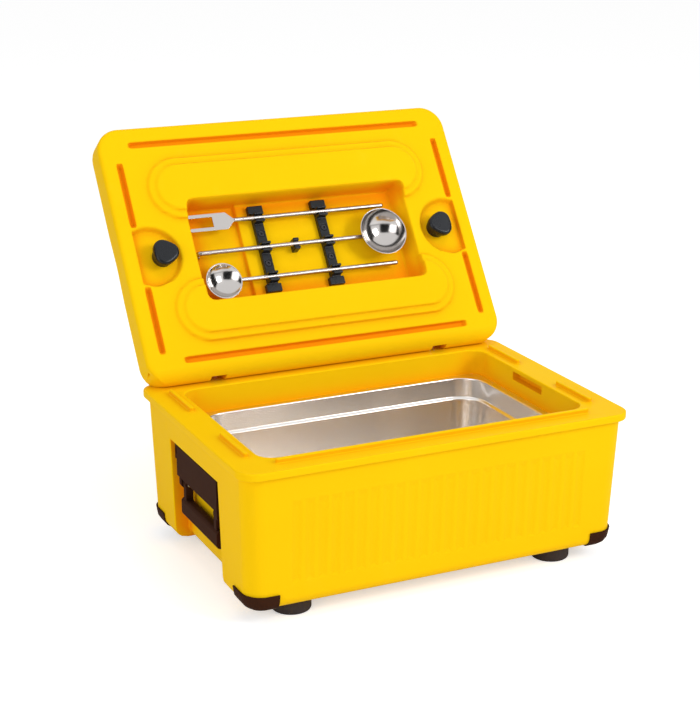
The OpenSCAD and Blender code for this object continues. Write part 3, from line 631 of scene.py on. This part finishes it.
@dataclass
class Tub:
    """The double-walled tub with its guards and feet."""

    finishes: Finishes
    rim_mm: float = 243.0
    rim_half_mm: Point = (322.0, 220.0)
    rim_corner_mm: float = 37.0
    rim_round_mm: float = 2.2
    rim_steps: int = 4
    rim_level: float = 0.7
    lip_reach_mm: float = 1.5
    hidden_round_mm: float = 0.4
    slack_mm: float = 0.5
    flute_ends_mm: Point = (64.1, 192.0)
    flute_reach_mm: float = 250.0
    flute_mm: float = 1.8
    flute_span_mm: Point = (0.02, 2.1)
    run_out_mm: float = 9.0
    recess_mm: Triple = (280.0, 104.0, 195.0)
    recess_round_mm: float = 2.0
    bore_step_mm: float = 1.0
    guard_round_mm: float = 0.4
    foot_round_mm: float = 1.2

    def build(self) -> None:
        """Builds the shells, guards and feet."""
        shell = Moulding("tub_outer_shell", flat_deg=0.02)
        self._run_out(shell.shape)
        shell.cast(self.finishes.yellow, self._wall_width)
        liner = Moulding("tub_inner_liner", flat_deg=0.1)
        liner.cast(self.finishes.liner, self._liner_width, self.rim_steps)
        self.finishes.dress(self.finishes.foam, ("tub_insulation",))
        cast_all((f"guard_{corner}" for corner in CORNERS), self.finishes.brown, self.guard_round_mm)
        cast_all((f"foot_{corner}" for corner in CORNERS), self.finishes.rubber, self.foot_round_mm)
        cast_screws(("foot_screws",), self.finishes.screw)

    def _run_out(self, shape: Shape) -> None:
        """Slopes the ends of the flutes so that they run out into the wall."""
        for level, up in zip(self.flute_ends_mm, (1.0, -1.0)):
            ends = [vert for vert in shape.verts if self._at_flute_end(vert, level)]
            wall = max((abs(vert.co.y) for vert in ends), default=0.0)
            for vert in ends:
                depth = (wall - abs(vert.co.y)) / MM
                if self.flute_span_mm[0] < depth < self.flute_span_mm[1]:
                    vert.co.z += up * self.run_out_mm * MM * depth / self.flute_mm

    def _at_flute_end(self, vert: Vert, level: float) -> bool:
        """Whether a vertex lies within the reach of the flutes and at a level where they end."""
        near = abs(vert.co.z / MM - level) < self.slack_mm
        return near and abs(vert.co.x / MM) < self.flute_reach_mm

    def _liner_width(self, edge: Edge) -> float:
        """A full rounding on the rim, its tongues and its lip, and a fine one elsewhere."""
        middle = middle_mm(edge)
        half_x, half_y = self.rim_half_mm
        depth = depth_in_box(middle.x, middle.y, (-half_x, -half_y, half_x, half_y), self.rim_corner_mm)
        level = max(face.normal.z for face in edge.link_faces)
        top = middle.z > self.rim_mm - self.slack_mm and level > self.rim_level
        return self.rim_round_mm if top or depth < self.lip_reach_mm else self.hidden_round_mm

    def _wall_width(self, edge: Edge) -> float:
        """A full rounding round the handle recesses and none elsewhere."""
        middle = middle_mm(edge)
        far, half, top = self.recess_mm
        recess = abs(middle.x) > far and abs(middle.y) < half and middle.z < top
        return self.recess_round_mm if recess and edge.calc_length() > self.bore_step_mm * MM else 0.0


@dataclass
class Handles:
    """The two drop handles with their brackets."""

    finishes: Finishes
    bracket_round_mm: float = 0.8
    bracket_step_mm: float = 0.9
    bail_round_mm: float = 0.6
    bail_step_mm: float = 0.5
    bore_round_mm: float = 0.0

    def build(self) -> None:
        """Builds the brackets, bails, pins and screws."""
        plate = bore_free(self.bracket_round_mm, self.bore_round_mm, self.bracket_step_mm)
        cast_all((f"handle_bracket_{side}" for side in SIDES), self.finishes.brown, plate)
        bail = bore_free(self.bail_round_mm, self.bore_round_mm, self.bail_step_mm)
        cast_all((f"handle_bail_{side}" for side in SIDES), self.finishes.brown, bail)
        cast_screws(("handle_pins", "handle_screws"), self.finishes.screw)


@dataclass
class Hinges:
    """The two hinge arms on the rear wall with their pins and screws."""

    finishes: Finishes
    arm_round_mm: float = 0.8
    bore_round_mm: float = 0.3
    bore_step_mm: float = 0.9

    def build(self) -> None:
        """Builds the arms, pins and screws."""
        arm = bore_free(self.arm_round_mm, self.bore_round_mm, self.bore_step_mm)
        cast_all((f"hinge_arm_{side}" for side in SIDES), self.finishes.yellow, arm)
        cast_screws(("hinge_pins", "hinge_screws"), self.finishes.screw)


@dataclass
class FoodPan:
    """The pressed steel pan that hangs in the tub."""

    finishes: Finishes
    sheet_mm: float = 1.2
    flange_half_mm: Point = (265.0, 162.5)
    flange_corner_mm: float = 22.0
    flange_mm: float = 203.0
    lip_mm: float = 1.2
    lip_turn_mm: Triple = (0.2, 0.4, 0.8)
    mouth_half_mm: Point = (251.3, 148.8)
    mouth_corner_mm: float = 46.8
    mouth_bend_mm: float = 1.8
    shoulder_mm: float = 34.0
    shoulder_step_mm: float = 4.5
    shoulder_bend_mm: float = 4.4
    taper_mm: float = 10.0
    floor_mm: float = 54.2
    floor_bend_mm: float = 21.0
    arc_steps: int = 6
    corner_steps: int = 14

    def build(self) -> None:
        """Builds the pan from a loop that is drawn down its inside."""
        shape = bmesh.new()
        profile = self._profile()
        ring = self._first_loop(shape, *profile[0])
        for old, new in zip(profile, profile[1:]):
            ring = draw_ring(shape, ring, partial(self._resize, old=old, new=new))
        bmesh.ops.edgeloop_fill(shape, edges=ring)
        bmesh.ops.recalc_face_normals(shape, faces=shape.faces)
        lowest = min(shape.faces, key=lambda face: face.calc_center_median().z)
        outward = 1.0 if lowest.normal.z < 0.0 else -1.0
        piece = stand_in(shape, "food_pan", self.finishes.pan)
        wall = piece.modifiers.new("wall", "SOLIDIFY")
        wall.thickness = self.sheet_mm * MM
        wall.offset = outward
        wall.use_even_offset = True
        even_shading(piece)

    def _profile(self) -> list[Loop]:
        """The loops of the inside from the flange's rim to the floor.

        Returns:
            The inset from the mouth, the corner radius and the height of each loop.
        """
        out = self.mouth_half_mm[0] - self.flange_half_mm[0]
        top, corner = self.flange_mm, self.flange_corner_mm
        turn_in, turn_down, turn_end = self.lip_turn_mm
        loops = [(out, corner, top - self.lip_mm), (out + turn_in, corner, top - turn_down)]
        insets = steps(out + turn_end, -self.mouth_bend_mm)
        corners = steps(corner, self.mouth_corner_mm + self.mouth_bend_mm)
        loops += [(inset, radius, top) for inset, radius in zip(insets, corners)]
        for turn in steps(0.0, 90.0, self.arc_steps)[1:]:
            side, drop = math.sin(math.radians(turn)), math.cos(math.radians(turn))
            inset = -self.mouth_bend_mm * (1.0 - side)
            loops.append((inset, self.mouth_corner_mm - inset, top - self.mouth_bend_mm * (1.0 - drop)))
        ledge = top - self.shoulder_mm
        for turn in steps(0.0, 180.0, 2 * self.arc_steps):
            inset = self.shoulder_step_mm * (1.0 - math.cos(math.radians(turn))) / 2.0
            height = ledge + self.shoulder_bend_mm * (1.0 - turn / 90.0) / 2.0
            loops.append((inset, self.mouth_corner_mm - inset, height))
        for turn in steps(0.0, 90.0, self.arc_steps):
            side, drop = math.sin(math.radians(turn)), math.cos(math.radians(turn))
            inset = self.shoulder_step_mm + self.taper_mm + self.floor_bend_mm * (1.0 - drop)
            corner = max(self.mouth_corner_mm - inset, self.floor_bend_mm)
            loops.append((inset, corner, self.floor_mm + self.floor_bend_mm * (1.0 - side)))
        return loops

    def _first_loop(self, shape: Shape, inset: float, corner: float, height: float) -> list[Edge]:
        """Makes the level loop with round corners that the pan starts from.

        Args:
            shape: The mesh.
            inset: How far the loop lies inside the mouth, in millimetres.
            corner: The radius of its corners, in millimetres.
            height: Its height, in millimetres.

        Returns:
            The loop's edges.
        """
        half_x, half_y = (half - inset for half in self.mouth_half_mm)
        made = bmesh.ops.create_grid(shape, x_segments=1, y_segments=1, size=1.0)["verts"]
        for vert in made:
            x, y = math.copysign(half_x, vert.co.x), math.copysign(half_y, vert.co.y)
            vert.co = Vector((x, y, height)) * MM
        bmesh.ops.bevel(
            shape,
            geom=made,
            affect="VERTICES",
            offset=corner * MM,
            offset_type="OFFSET",
            segments=self.corner_steps,
            profile=0.5,
            material=-1,
        )
        (sheet,) = shape.faces
        edges = list(sheet.edges)
        bmesh.ops.delete(shape, geom=[sheet], context="FACES_ONLY")
        return edges

    def _resize(self, place: Vector, old: Loop, new: Loop) -> Vector:
        """Moves a place on a corner's arc from an old loop to a new one."""
        moved = Vector((0.0, 0.0, new[2]))
        for axis, half in enumerate(self.mouth_half_mm):
            share = (abs(place[axis]) - (half - old[0] - old[1])) / old[1]
            moved[axis] = math.copysign(half - new[0] - new[1] + share * new[1], place[axis])
        return moved


@dataclass
class LidPanel:
    """The formed underside of the lid, shaped on the shut lid and then swung open."""

    finishes: Finishes
    swing: Matrix
    hinge_mm: Point
    half_mm: Point = (318.0, 220.0)
    corner_mm: float = 40.0
    edge_mm: float = 7.0
    base_mm: float = 243.6
    split_mm: float = 255.6
    sheet_mm: float = 4.0
    heel_mm: float = 22.4
    rear_mm: float = 216.6
    groove_half_mm: float = 5.5
    groove_wall_mm: float = 2.2
    sunk_mm: float = 9.0
    groove_y_mm: Point = (-188.0, 187.0)
    groove_reach_mm: Point = (259.5, 248.5)
    side_groove_x_mm: float = 288.0
    side_groove_y_mm: tuple[Point, Point] = ((-151.5, -50.5), (65.0, 166.0))
    notch_mm: Triple = (270.0, 8.0, 50.0)
    notch_limit_mm: float = 293.5
    bar_y_mm: Point = (-105.0, 108.0)
    bar_reach_mm: float = 197.0
    bar_half_mm: float = 55.0
    bar_step_mm: Point = (5.0, 4.0)
    bar_wall_mm: float = 3.5
    bar_inset_mm: float = 13.0
    tool_box_mm: Box = (-194.0, -82.0, 204.0, 96.0)
    tool_corner_mm: float = 14.0
    tool_wall_mm: float = 5.0
    tool_depth_mm: float = 30.0
    tool_slope_mm: float = 18.0
    tool_step_mm: Triple = (-97.0, 4.0, 8.0)
    pitch_mm: float = 2.4
    wall_steps: int = 5
    heel_steps: int = 8
    edge_step_deg: int = 15
    smooth_rounds: int = 2
    smooth_share: float = 0.5

    def build(self) -> None:
        """Builds the visible side and closes it with a plain back."""
        shape = bmesh.new()
        inside = [vert for vert in self._sheet(shape) if not vert.is_boundary]
        for _ in range(self.smooth_rounds):
            bmesh.ops.smooth_vert(shape, verts=inside, factor=self.smooth_share, use_axis_z=True)
        ring = [edge for edge in shape.edges if edge.is_boundary]
        rings = self._back()
        for old, new in zip((rings[0], *rings), rings):
            ring = draw_ring(shape, ring, partial(self._resize, old=old, new=new))
            for edge in ring:
                edge.smooth = False
        bmesh.ops.edgeloop_fill(shape, edges=ring)
        bmesh.ops.recalc_face_normals(shape, faces=shape.faces)
        bmesh.ops.transform(shape, matrix=self.swing, verts=shape.verts)
        even_shading(stand_in(shape, "lid_inner_panel", self.finishes.yellow))

    def _back(self) -> list[Ring]:
        """The rings of the hidden back, from the seam to the cover of the tool recess.

        Returns:
            The half size, the middle and the height of each ring.
        """
        left, front, right, rear = self.tool_box_mm
        cover_half = ((right - left) / 2.0 + self.sheet_mm, (rear - front) / 2.0 + self.sheet_mm)
        cover_middle = ((left + right) / 2.0, (front + rear) / 2.0)
        cover = self.base_mm + self.tool_depth_mm + self.tool_step_mm[2] + self.sheet_mm
        inner = tuple(half - self.sheet_mm for half in self.half_mm)
        return [
            (self.half_mm, (0.0, 0.0), self.split_mm),
            (inner, (0.0, 0.0), self.split_mm),
            (cover_half, cover_middle, self.split_mm),
            (cover_half, cover_middle, cover),
        ]

    @staticmethod
    def _resize(place: Vector, old: Ring, new: Ring) -> Vector:
        """Moves a place from an old ring to a new one."""
        moved = Vector((0.0, 0.0, new[2]))
        for axis in (0, 1):
            share = (place[axis] - old[1][axis]) / old[0][axis]
            moved[axis] = share * new[0][axis] + new[1][axis]
        return moved

    def _sheet(self, shape: Shape) -> list[Vert]:
        """Adds a grid over the lid's outline and shapes it as the visible side.

        Args:
            shape: The mesh that the grid is added to.

        Returns:
            The grid's vertices.
        """
        half_x, half_y = self.half_mm
        columns = grid_lines(self._column_marks(), -half_x, half_x, self.pitch_mm)
        rows = grid_lines(self._row_marks(), -half_y, self.rear_mm, self.pitch_mm)
        last_column, last_row = len(columns) - 1, len(rows) - 1
        made = bmesh.ops.create_grid(shape, x_segments=last_column, y_segments=last_row, size=1.0)["verts"]
        for vert in made:
            y = rows[round((vert.co.y + 1.0) / 2.0 * last_row)]
            x = self._narrow(columns[round((vert.co.x + 1.0) / 2.0 * last_column)], y)
            vert.co = Vector((x, y, self._level(x, y))) * MM
        return made

    def _narrow(self, x: float, y: float) -> float:
        """Draws the outer columns in along the round corners."""
        half_x, half_y = self.half_mm
        over = abs(y) - (half_y - self.corner_mm)
        inner = half_x - 2.0 * self.corner_mm
        if over <= 0.0 or abs(x) <= inner:
            return x
        reach = half_x - self.corner_mm + math.sqrt(max(0.0, self.corner_mm**2 - over**2))
        return math.copysign(inner + (abs(x) - inner) * (reach - inner) / (half_x - inner), x)

    def _edge_marks(self, half: float) -> list[float]:
        """Lines that follow the rounding of an outer edge."""
        turns = range(0, 90, self.edge_step_deg)
        return [half - self.edge_mm * (1.0 - math.sin(math.radians(turn))) for turn in turns]

    def _wall_marks(self, low: float, high: float) -> list[float]:
        """Lines that follow the two walls of the tool recess along one axis."""
        near = steps(low, low + self.tool_wall_mm, self.wall_steps)
        return near + steps(high - self.tool_wall_mm, high, self.wall_steps)

    def _column_marks(self) -> list[float]:
        """The places along x where the underside bends."""
        marks = self._edge_marks(self.half_mm[0])
        wall = self.groove_half_mm - self.groove_wall_mm
        for side in (-1.0, 1.0):
            column = self.side_groove_x_mm
            marks += steps(column + side * wall, column + side * self.groove_half_mm)
        marks += [-mark for mark in marks]
        marks += self._wall_marks(self.tool_box_mm[0], self.tool_box_mm[2])
        marks += [self.tool_box_mm[2] - self.tool_slope_mm]
        return marks + steps(self.tool_step_mm[0] - self.tool_step_mm[1], self.tool_step_mm[0])

    def _row_marks(self) -> list[float]:
        """The places along y where the underside bends."""
        marks = [-mark for mark in self._edge_marks(self.half_mm[1])]
        marks += steps(self.hinge_mm[0], self.rear_mm, self.heel_steps)
        wall = self.groove_half_mm - self.groove_wall_mm
        for side in (-1.0, 1.0):
            for line in self.groove_y_mm:
                marks += steps(line + side * wall, line + side * self.groove_half_mm)
            for line in self.bar_y_mm:
                for start in (0.0, self.bar_inset_mm):
                    foot = line + side * (self.bar_half_mm - start)
                    marks += steps(foot - side * self.bar_wall_mm, foot)
        return marks + self._wall_marks(self.tool_box_mm[1], self.tool_box_mm[3])

    def _groove_depth(self, x: float, y: float) -> float:
        """How deep a place lies inside the nearest groove."""
        column = self.side_groove_x_mm
        rows = zip(self.groove_y_mm, self.groove_reach_mm)
        bars = [((-reach, line), (reach, line)) for line, reach in rows]
        bars += [((column, low), (column, high)) for low, high in self.side_groove_y_mm]
        return max(depth_in_bar(abs(x), y, start, end, self.groove_half_mm) for start, end in bars)

    def _notch_depth(self, x: float, y: float) -> float:
        """How deep a place lies inside the notch around a latch."""
        centre_x, centre_y, radius = self.notch_mm
        return min(radius - math.hypot(abs(x) - centre_x, y - centre_y), self.notch_limit_mm - abs(x))

    def _tool_floor(self, x: float) -> float:
        """The height of the tool recess's floor."""
        step, slope, drop = self.tool_step_mm
        floor = self.tool_depth_mm * min(1.0, (self.tool_box_mm[2] - x) / self.tool_slope_mm)
        return self.base_mm + floor + drop * ease(step - x, slope)

    def _edge_depth(self, x: float, y: float) -> float:
        """How far a place lies inside the lid's outline."""
        half_x, half_y = self.half_mm
        return depth_in_box(x, y, (-half_x, -half_y, half_x, half_y), self.corner_mm)

    def _level(self, x: float, y: float) -> float:
        """The height of the visible side at a place on the shut lid."""
        level = self.base_mm
        reach = self.bar_reach_mm
        for line in self.bar_y_mm:
            depth = depth_in_bar(x, y, (-reach, line), (reach, line), self.bar_half_mm)
            level -= self.bar_step_mm[0] * ease(depth, self.bar_wall_mm)
            level -= self.bar_step_mm[1] * ease(depth - self.bar_inset_mm, self.bar_wall_mm)
        sunk = max(self._groove_depth(x, y), self._notch_depth(x, y))
        level += self.sunk_mm * ease(sunk, self.groove_wall_mm)
        recess = ease(depth_in_box(x, y, self.tool_box_mm, self.tool_corner_mm), self.tool_wall_mm)
        level += (self._tool_floor(x) - level) * recess
        inward = min(self.edge_mm, max(0.0, self._edge_depth(x, y)))
        level += self.edge_mm - math.sqrt(self.edge_mm**2 - (self.edge_mm - inward) ** 2)
        behind = y - self.hinge_mm[0]
        if behind > 0.0:
            level = max(level, self.hinge_mm[1] - math.sqrt(max(0.0, self.heel_mm**2 - behind**2)))
        return level


@dataclass
class Lid:
    """The insulated lid."""

    finishes: Finishes
    hinge_mm: Point = (197.0, 266.0)
    open_deg: float = 125.0
    split_mm: float = 255.6
    top_round_mm: float = 0.5
    seam_round_mm: float = 0.8
    hidden_round_mm: float = 0.3
    rear_mm: float = 195.0
    half_mm: Point = (317.0, 219.0)
    top_level: float = 0.3
    bore_step_mm: float = 0.9
    slack_mm: float = 0.2
    swing: Matrix = field(init=False)
    shut: Matrix = field(init=False)

    def __post_init__(self) -> None:
        """Works out the turns that swing the shut lid open and back."""
        pivot = Vector((0.0, *self.hinge_mm)) * MM
        turn = Matrix.Rotation(-math.radians(self.open_deg), 4, "X")
        self.swing = Matrix.Translation(pivot) @ turn @ Matrix.Translation(-pivot)
        self.shut = self.swing.inverted()

    def build(self) -> None:
        """Builds the lid's shell and panel."""
        Moulding("lid_outer_shell", flat_deg=0.1).cast(self.finishes.yellow, self._shell_width)
        LidPanel(self.finishes, self.swing, self.hinge_mm).build()
        self.finishes.dress(self.finishes.foam, ("lid_insulation",))

    def _shell_width(self, edge: Edge) -> float:
        """The rounding of an edge of the shell, told by where it lies on the shut lid."""
        middle = self.shut @ (middle_mm(edge) * MM) / MM
        level = max((self.shut.to_3x3() @ face.normal).z for face in edge.link_faces)
        if middle.y > self.rear_mm:
            return 0.0
        if level > self.top_level and edge.calc_length() > self.bore_step_mm * MM:
            return self.top_round_mm
        seam = abs(middle.z - self.split_mm) < self.slack_mm
        outside = abs(middle.x) > self.half_mm[0] or abs(middle.y) > self.half_mm[1]
        return self.seam_round_mm if seam and outside else self.hidden_round_mm


@dataclass
class Latches:
    """The two turning latches of the lid."""

    finishes: Finishes
    shut: Matrix
    centre_mm: Point = (250.0, 8.0)
    cam_mm: float = 224.6
    cam_t_mm: float = 10.0
    flat_mm: float = 12.0
    flat_cuts: int = 6
    hub_mm: float = 17.5
    round_mm: float = 20.5
    lobe_share: float = 0.6
    cam_round_mm: float = 5.0
    cam_steps: int = 6
    knob_top_mm: float = 296.5
    knob_round_mm: float = 1.6
    knob_steps: int = 4
    fine_mm: float = 0.4
    bushing_round_mm: float = 0.8
    slack_mm: float = 0.2

    def build(self) -> None:
        """Builds the bushings, cams and knobs."""
        cast_all(("latch_bushings",), self.finishes.black, self.bushing_round_mm)
        for side, sign in zip(SIDES, (-1.0, 1.0)):
            cam = Moulding(f"latch_cam_{side}")
            self._soften(cam.shape, Vector((sign * self.centre_mm[0], self.centre_mm[1])))
            cam.cast(self.finishes.black, self._cam_width, self.cam_steps)
        knobs = (f"latch_knob_{side}" for side in SIDES)
        cast_all(knobs, self.finishes.black, self._knob_width, self.knob_steps)

    def _soften(self, shape: Shape, centre: Vector) -> None:
        """Draws the lobes of a cam's plate in and its flats out, so that its outline is rounder.

        Args:
            shape: The cam's mesh.
            centre: The place of its spindle on the shut lid, in millimetres.
        """
        plate = self.cam_mm + self.cam_t_mm + self.slack_mm
        flats = [
            edge
            for edge in shape.edges
            if edge.calc_length() > self.flat_mm * MM and self._shut_level(edge) < plate
        ]
        bmesh.ops.subdivide_edges(shape, edges=flats, cuts=self.flat_cuts, use_grid_fill=True)
        for vert in shape.verts:
            place = self.shut @ vert.co / MM
            out = place.xy - centre
            if place.z < plate and out.length > self.hub_mm:
                reach = self.round_mm + (out.length - self.round_mm) * self.lobe_share
                side = centre + out * (reach / out.length)
                vert.co = self.shut.inverted() @ (Vector((*side, place.z)) * MM)

    def _shut_level(self, edge: Edge) -> float:
        """The height of an edge on the shut lid, in millimetres."""
        return (self.shut @ (middle_mm(edge) * MM)).z / MM

    def _cam_width(self, edge: Edge) -> float:
        """A full rounding on the outer face of the cam's plate and none behind it."""
        return self.cam_round_mm if self._shut_level(edge) < self.cam_mm + self.slack_mm else 0.0

    def _knob_width(self, edge: Edge) -> float:
        """A full rounding on the top of the knob's grip and a fine one elsewhere."""
        return self.knob_round_mm if self._shut_level(edge) > self.knob_top_mm else self.fine_mm


@dataclass
class ToolSet:
    """The serving tools and the rails that hold them."""

    finishes: Finishes
    rail_round_mm: float = 1.2
    tool_round_mm: float = 0.3

    def build(self) -> None:
        """Builds the rails, their screws and the three tools."""
        rails = ("clip_rail_left", "clip_rail_right", "centre_clip")
        cast_all(rails, self.finishes.black, self.rail_round_mm)
        cast_screws(("rail_screws",), self.finishes.dark_screw)
        for tool, end in (("fork", "head"), ("ladle", "bowl"), ("spoon", "head")):
            cast_all((f"{tool}_{end}",), self.finishes.tool, self.tool_round_mm)
            cast_all((f"{tool}_handle",), self.finishes.rod, self.tool_round_mm)


@dataclass
class Studio:
    """A pale floor, soft lamps and the camera."""

    eye_mm: Triple = (-1135.3, -2255.7, 1102.7)
    aim_mm: Triple = (-53.7, 0.0, 310.4)
    roll_deg: float = 0.29
    lens_mm: float = 87.97
    sensor_mm: float = 36.0
    lit_m: Triple = (0.0, 0.0, 0.25)
    white: Colour = (1.0, 1.0, 1.0)
    unlit: Colour = (0.0, 0.0, 0.0)
    dark: Colour = (0.02, 0.02, 0.02)
    floor_tone: Colour = (0.88, 0.88, 0.88)
    floor_m: float = 30.0
    floor_lift: float = 0.5
    mirror_lift: float = 0.06
    room_light: float = 0.54

    def build(self) -> None:
        """Sets up the floor, the lamps, the world and the camera."""
        self._floor()
        self._world()
        self._lamp("key", (1.9, -2.4, 2.0), 1.4, 54.0)
        self._lamp("fill", (-2.7, -1.5, 1.3), 2.2, 29.0)
        self._lamp("top", (0.2, -0.2, 3.0), 2.2, 16.0, mirrored=False)
        self._flag("flag_front", (-1.4, -3.8, 1.2), 4.2)
        self._flag("flag_right", (3.6, -0.6, 1.4), 3.4)
        self._flag("flag_left", (-3.6, 0.2, 1.4), 3.0)
        self._camera()
        bpy.context.scene.view_settings.view_transform = "Standard"

    def _floor(self) -> None:
        """Lays a pale floor that keeps the object's shadow and is lifted to white where it is seen."""
        shader = Shader.for_material("pale_floor")
        camera, mirrored = self._rays(shader)
        lift = self.floor_lift * camera + self.mirror_lift * mirrored
        paint = shader.finish(
            Base_Color=self.floor_tone,
            Roughness=0.95,
            Specular_IOR_Level=0.0,
            Emission_Color=shader.blend(lift, self.unlit, self.white),
            Emission_Strength=1.0,
        )
        floor = self._square("floor", self.floor_m, Matrix.Identity(4), paint)

    @staticmethod
    def _square(name: str, half: float, place: Matrix, paint: Material) -> bpy.types.Object:
        """Makes a flat square.

        Args:
            name: The square's name.
            half: Half its side, in metres.
            place: Where it lies.
            paint: Its material.

        Returns:
            The square.
        """
        mesh = bpy.data.meshes.new(name)
        shape = bmesh.new()
        bmesh.ops.create_grid(shape, x_segments=1, y_segments=1, size=half)
        bmesh.ops.transform(shape, matrix=place, verts=shape.verts)
        shape.to_mesh(mesh)
        shape.free()
        mesh.materials.append(paint)
        square = bpy.data.objects.new(name, mesh)
        bpy.context.collection.objects.link(square)
        return square

    def _turn_to_object(self, place: Triple, axis: str) -> Quaternion:
        """The turn that points an axis from a place at the object."""
        return (Vector(self.lit_m) - Vector(place)).to_track_quat(axis, "Y")

    @staticmethod
    def _rays(shader: Shader) -> tuple[Wire, Wire]:
        """1 for a ray from the camera, and 1 for a reflection or a refraction."""
        kinds = ("Camera", "Glossy", "Transmission")
        camera, glossy, through = (
            shader.node("ShaderNodeLightPath", output=f"Is {kind} Ray") for kind in kinds
        )
        return camera, glossy + through

    def _world(self) -> None:
        """Lights the room evenly, and shows it white to the camera, reflections and refractions."""
        shader = Shader(bpy.data.worlds.new("studio"), "Background")
        camera, mirrored = self._rays(shader)
        light = self.room_light + (1.0 - self.room_light) * (camera + mirrored)
        bpy.context.scene.world = shader.finish(Color=self.white, Strength=light)

    def _lamp(self, name: str, place: Triple, size: float, watts: float, mirrored: bool = True) -> None:
        """Hangs one soft square lamp that faces the object.

        Args:
            name: The lamp's name.
            place: Where it hangs, in metres.
            size: The side of the square, in metres.
            watts: Its power.
            mirrored: Whether polished surfaces show it.
        """
        data = bpy.data.lights.new(name, "AREA")
        data.size = size
        data.energy = watts
        lamp = bpy.data.objects.new(name, data)
        lamp.location = place
        lamp.visible_glossy = mirrored
        lamp.rotation_mode = "QUATERNION"
        lamp.rotation_quaternion = self._turn_to_object(place, "-Z")
        bpy.context.collection.objects.link(lamp)

    def _flag(self, name: str, place: Triple, size: float) -> None:
        """Hangs a dark card that shows only in what is polished.

        Args:
            name: The card's name.
            place: Where it hangs, in metres.
            size: The side of the square, in metres.
        """
        shader = Shader.for_material(name)
        paint = shader.finish(Base_Color=self.dark, Roughness=0.9, Specular_IOR_Level=0.0)
        facing = self._turn_to_object(place, "Z").to_matrix().to_4x4()
        card = self._square(name, size / 2.0, Matrix.Translation(place) @ facing, paint)
        card.visible_camera = False
        card.visible_diffuse = False
        card.visible_shadow = False
        card.visible_transmission = False

    def _camera(self) -> None:
        """Puts the camera where the photograph was taken from."""
        data = bpy.data.cameras.new("camera")
        data.sensor_fit = "HORIZONTAL"
        data.sensor_width = self.sensor_mm
        data.lens = self.lens_mm
        camera = bpy.data.objects.new("camera", data)
        eye, aim = Vector(self.eye_mm) * MM, Vector(self.aim_mm) * MM
        camera.location = eye
        camera.rotation_mode = "QUATERNION"
        turn = (aim - eye).to_track_quat("-Z", "Y")
        camera.rotation_quaternion = turn @ Quaternion((0.0, 0.0, 1.0), math.radians(self.roll_deg))
        bpy.context.collection.objects.link(camera)
        bpy.context.scene.camera = camera


def main() -> None:
    """Builds the finishes, dresses the carrier and sets up the studio."""
    logging.basicConfig(level=logging.INFO, format="%(name)s: %(message)s")
    finishes = Finishes()
    lid = Lid(finishes)
    assemblies = (
        Tub(finishes),
        Handles(finishes),
        Hinges(finishes),
        FoodPan(finishes),
        lid,
        Latches(finishes, lid.shut),
        ToolSet(finishes),
        Studio(),
    )
    for assembly in assemblies:
        LOG.info("building %s", type(assembly).__name__)
        assembly.build()


if __name__ == "__main__":
    main()
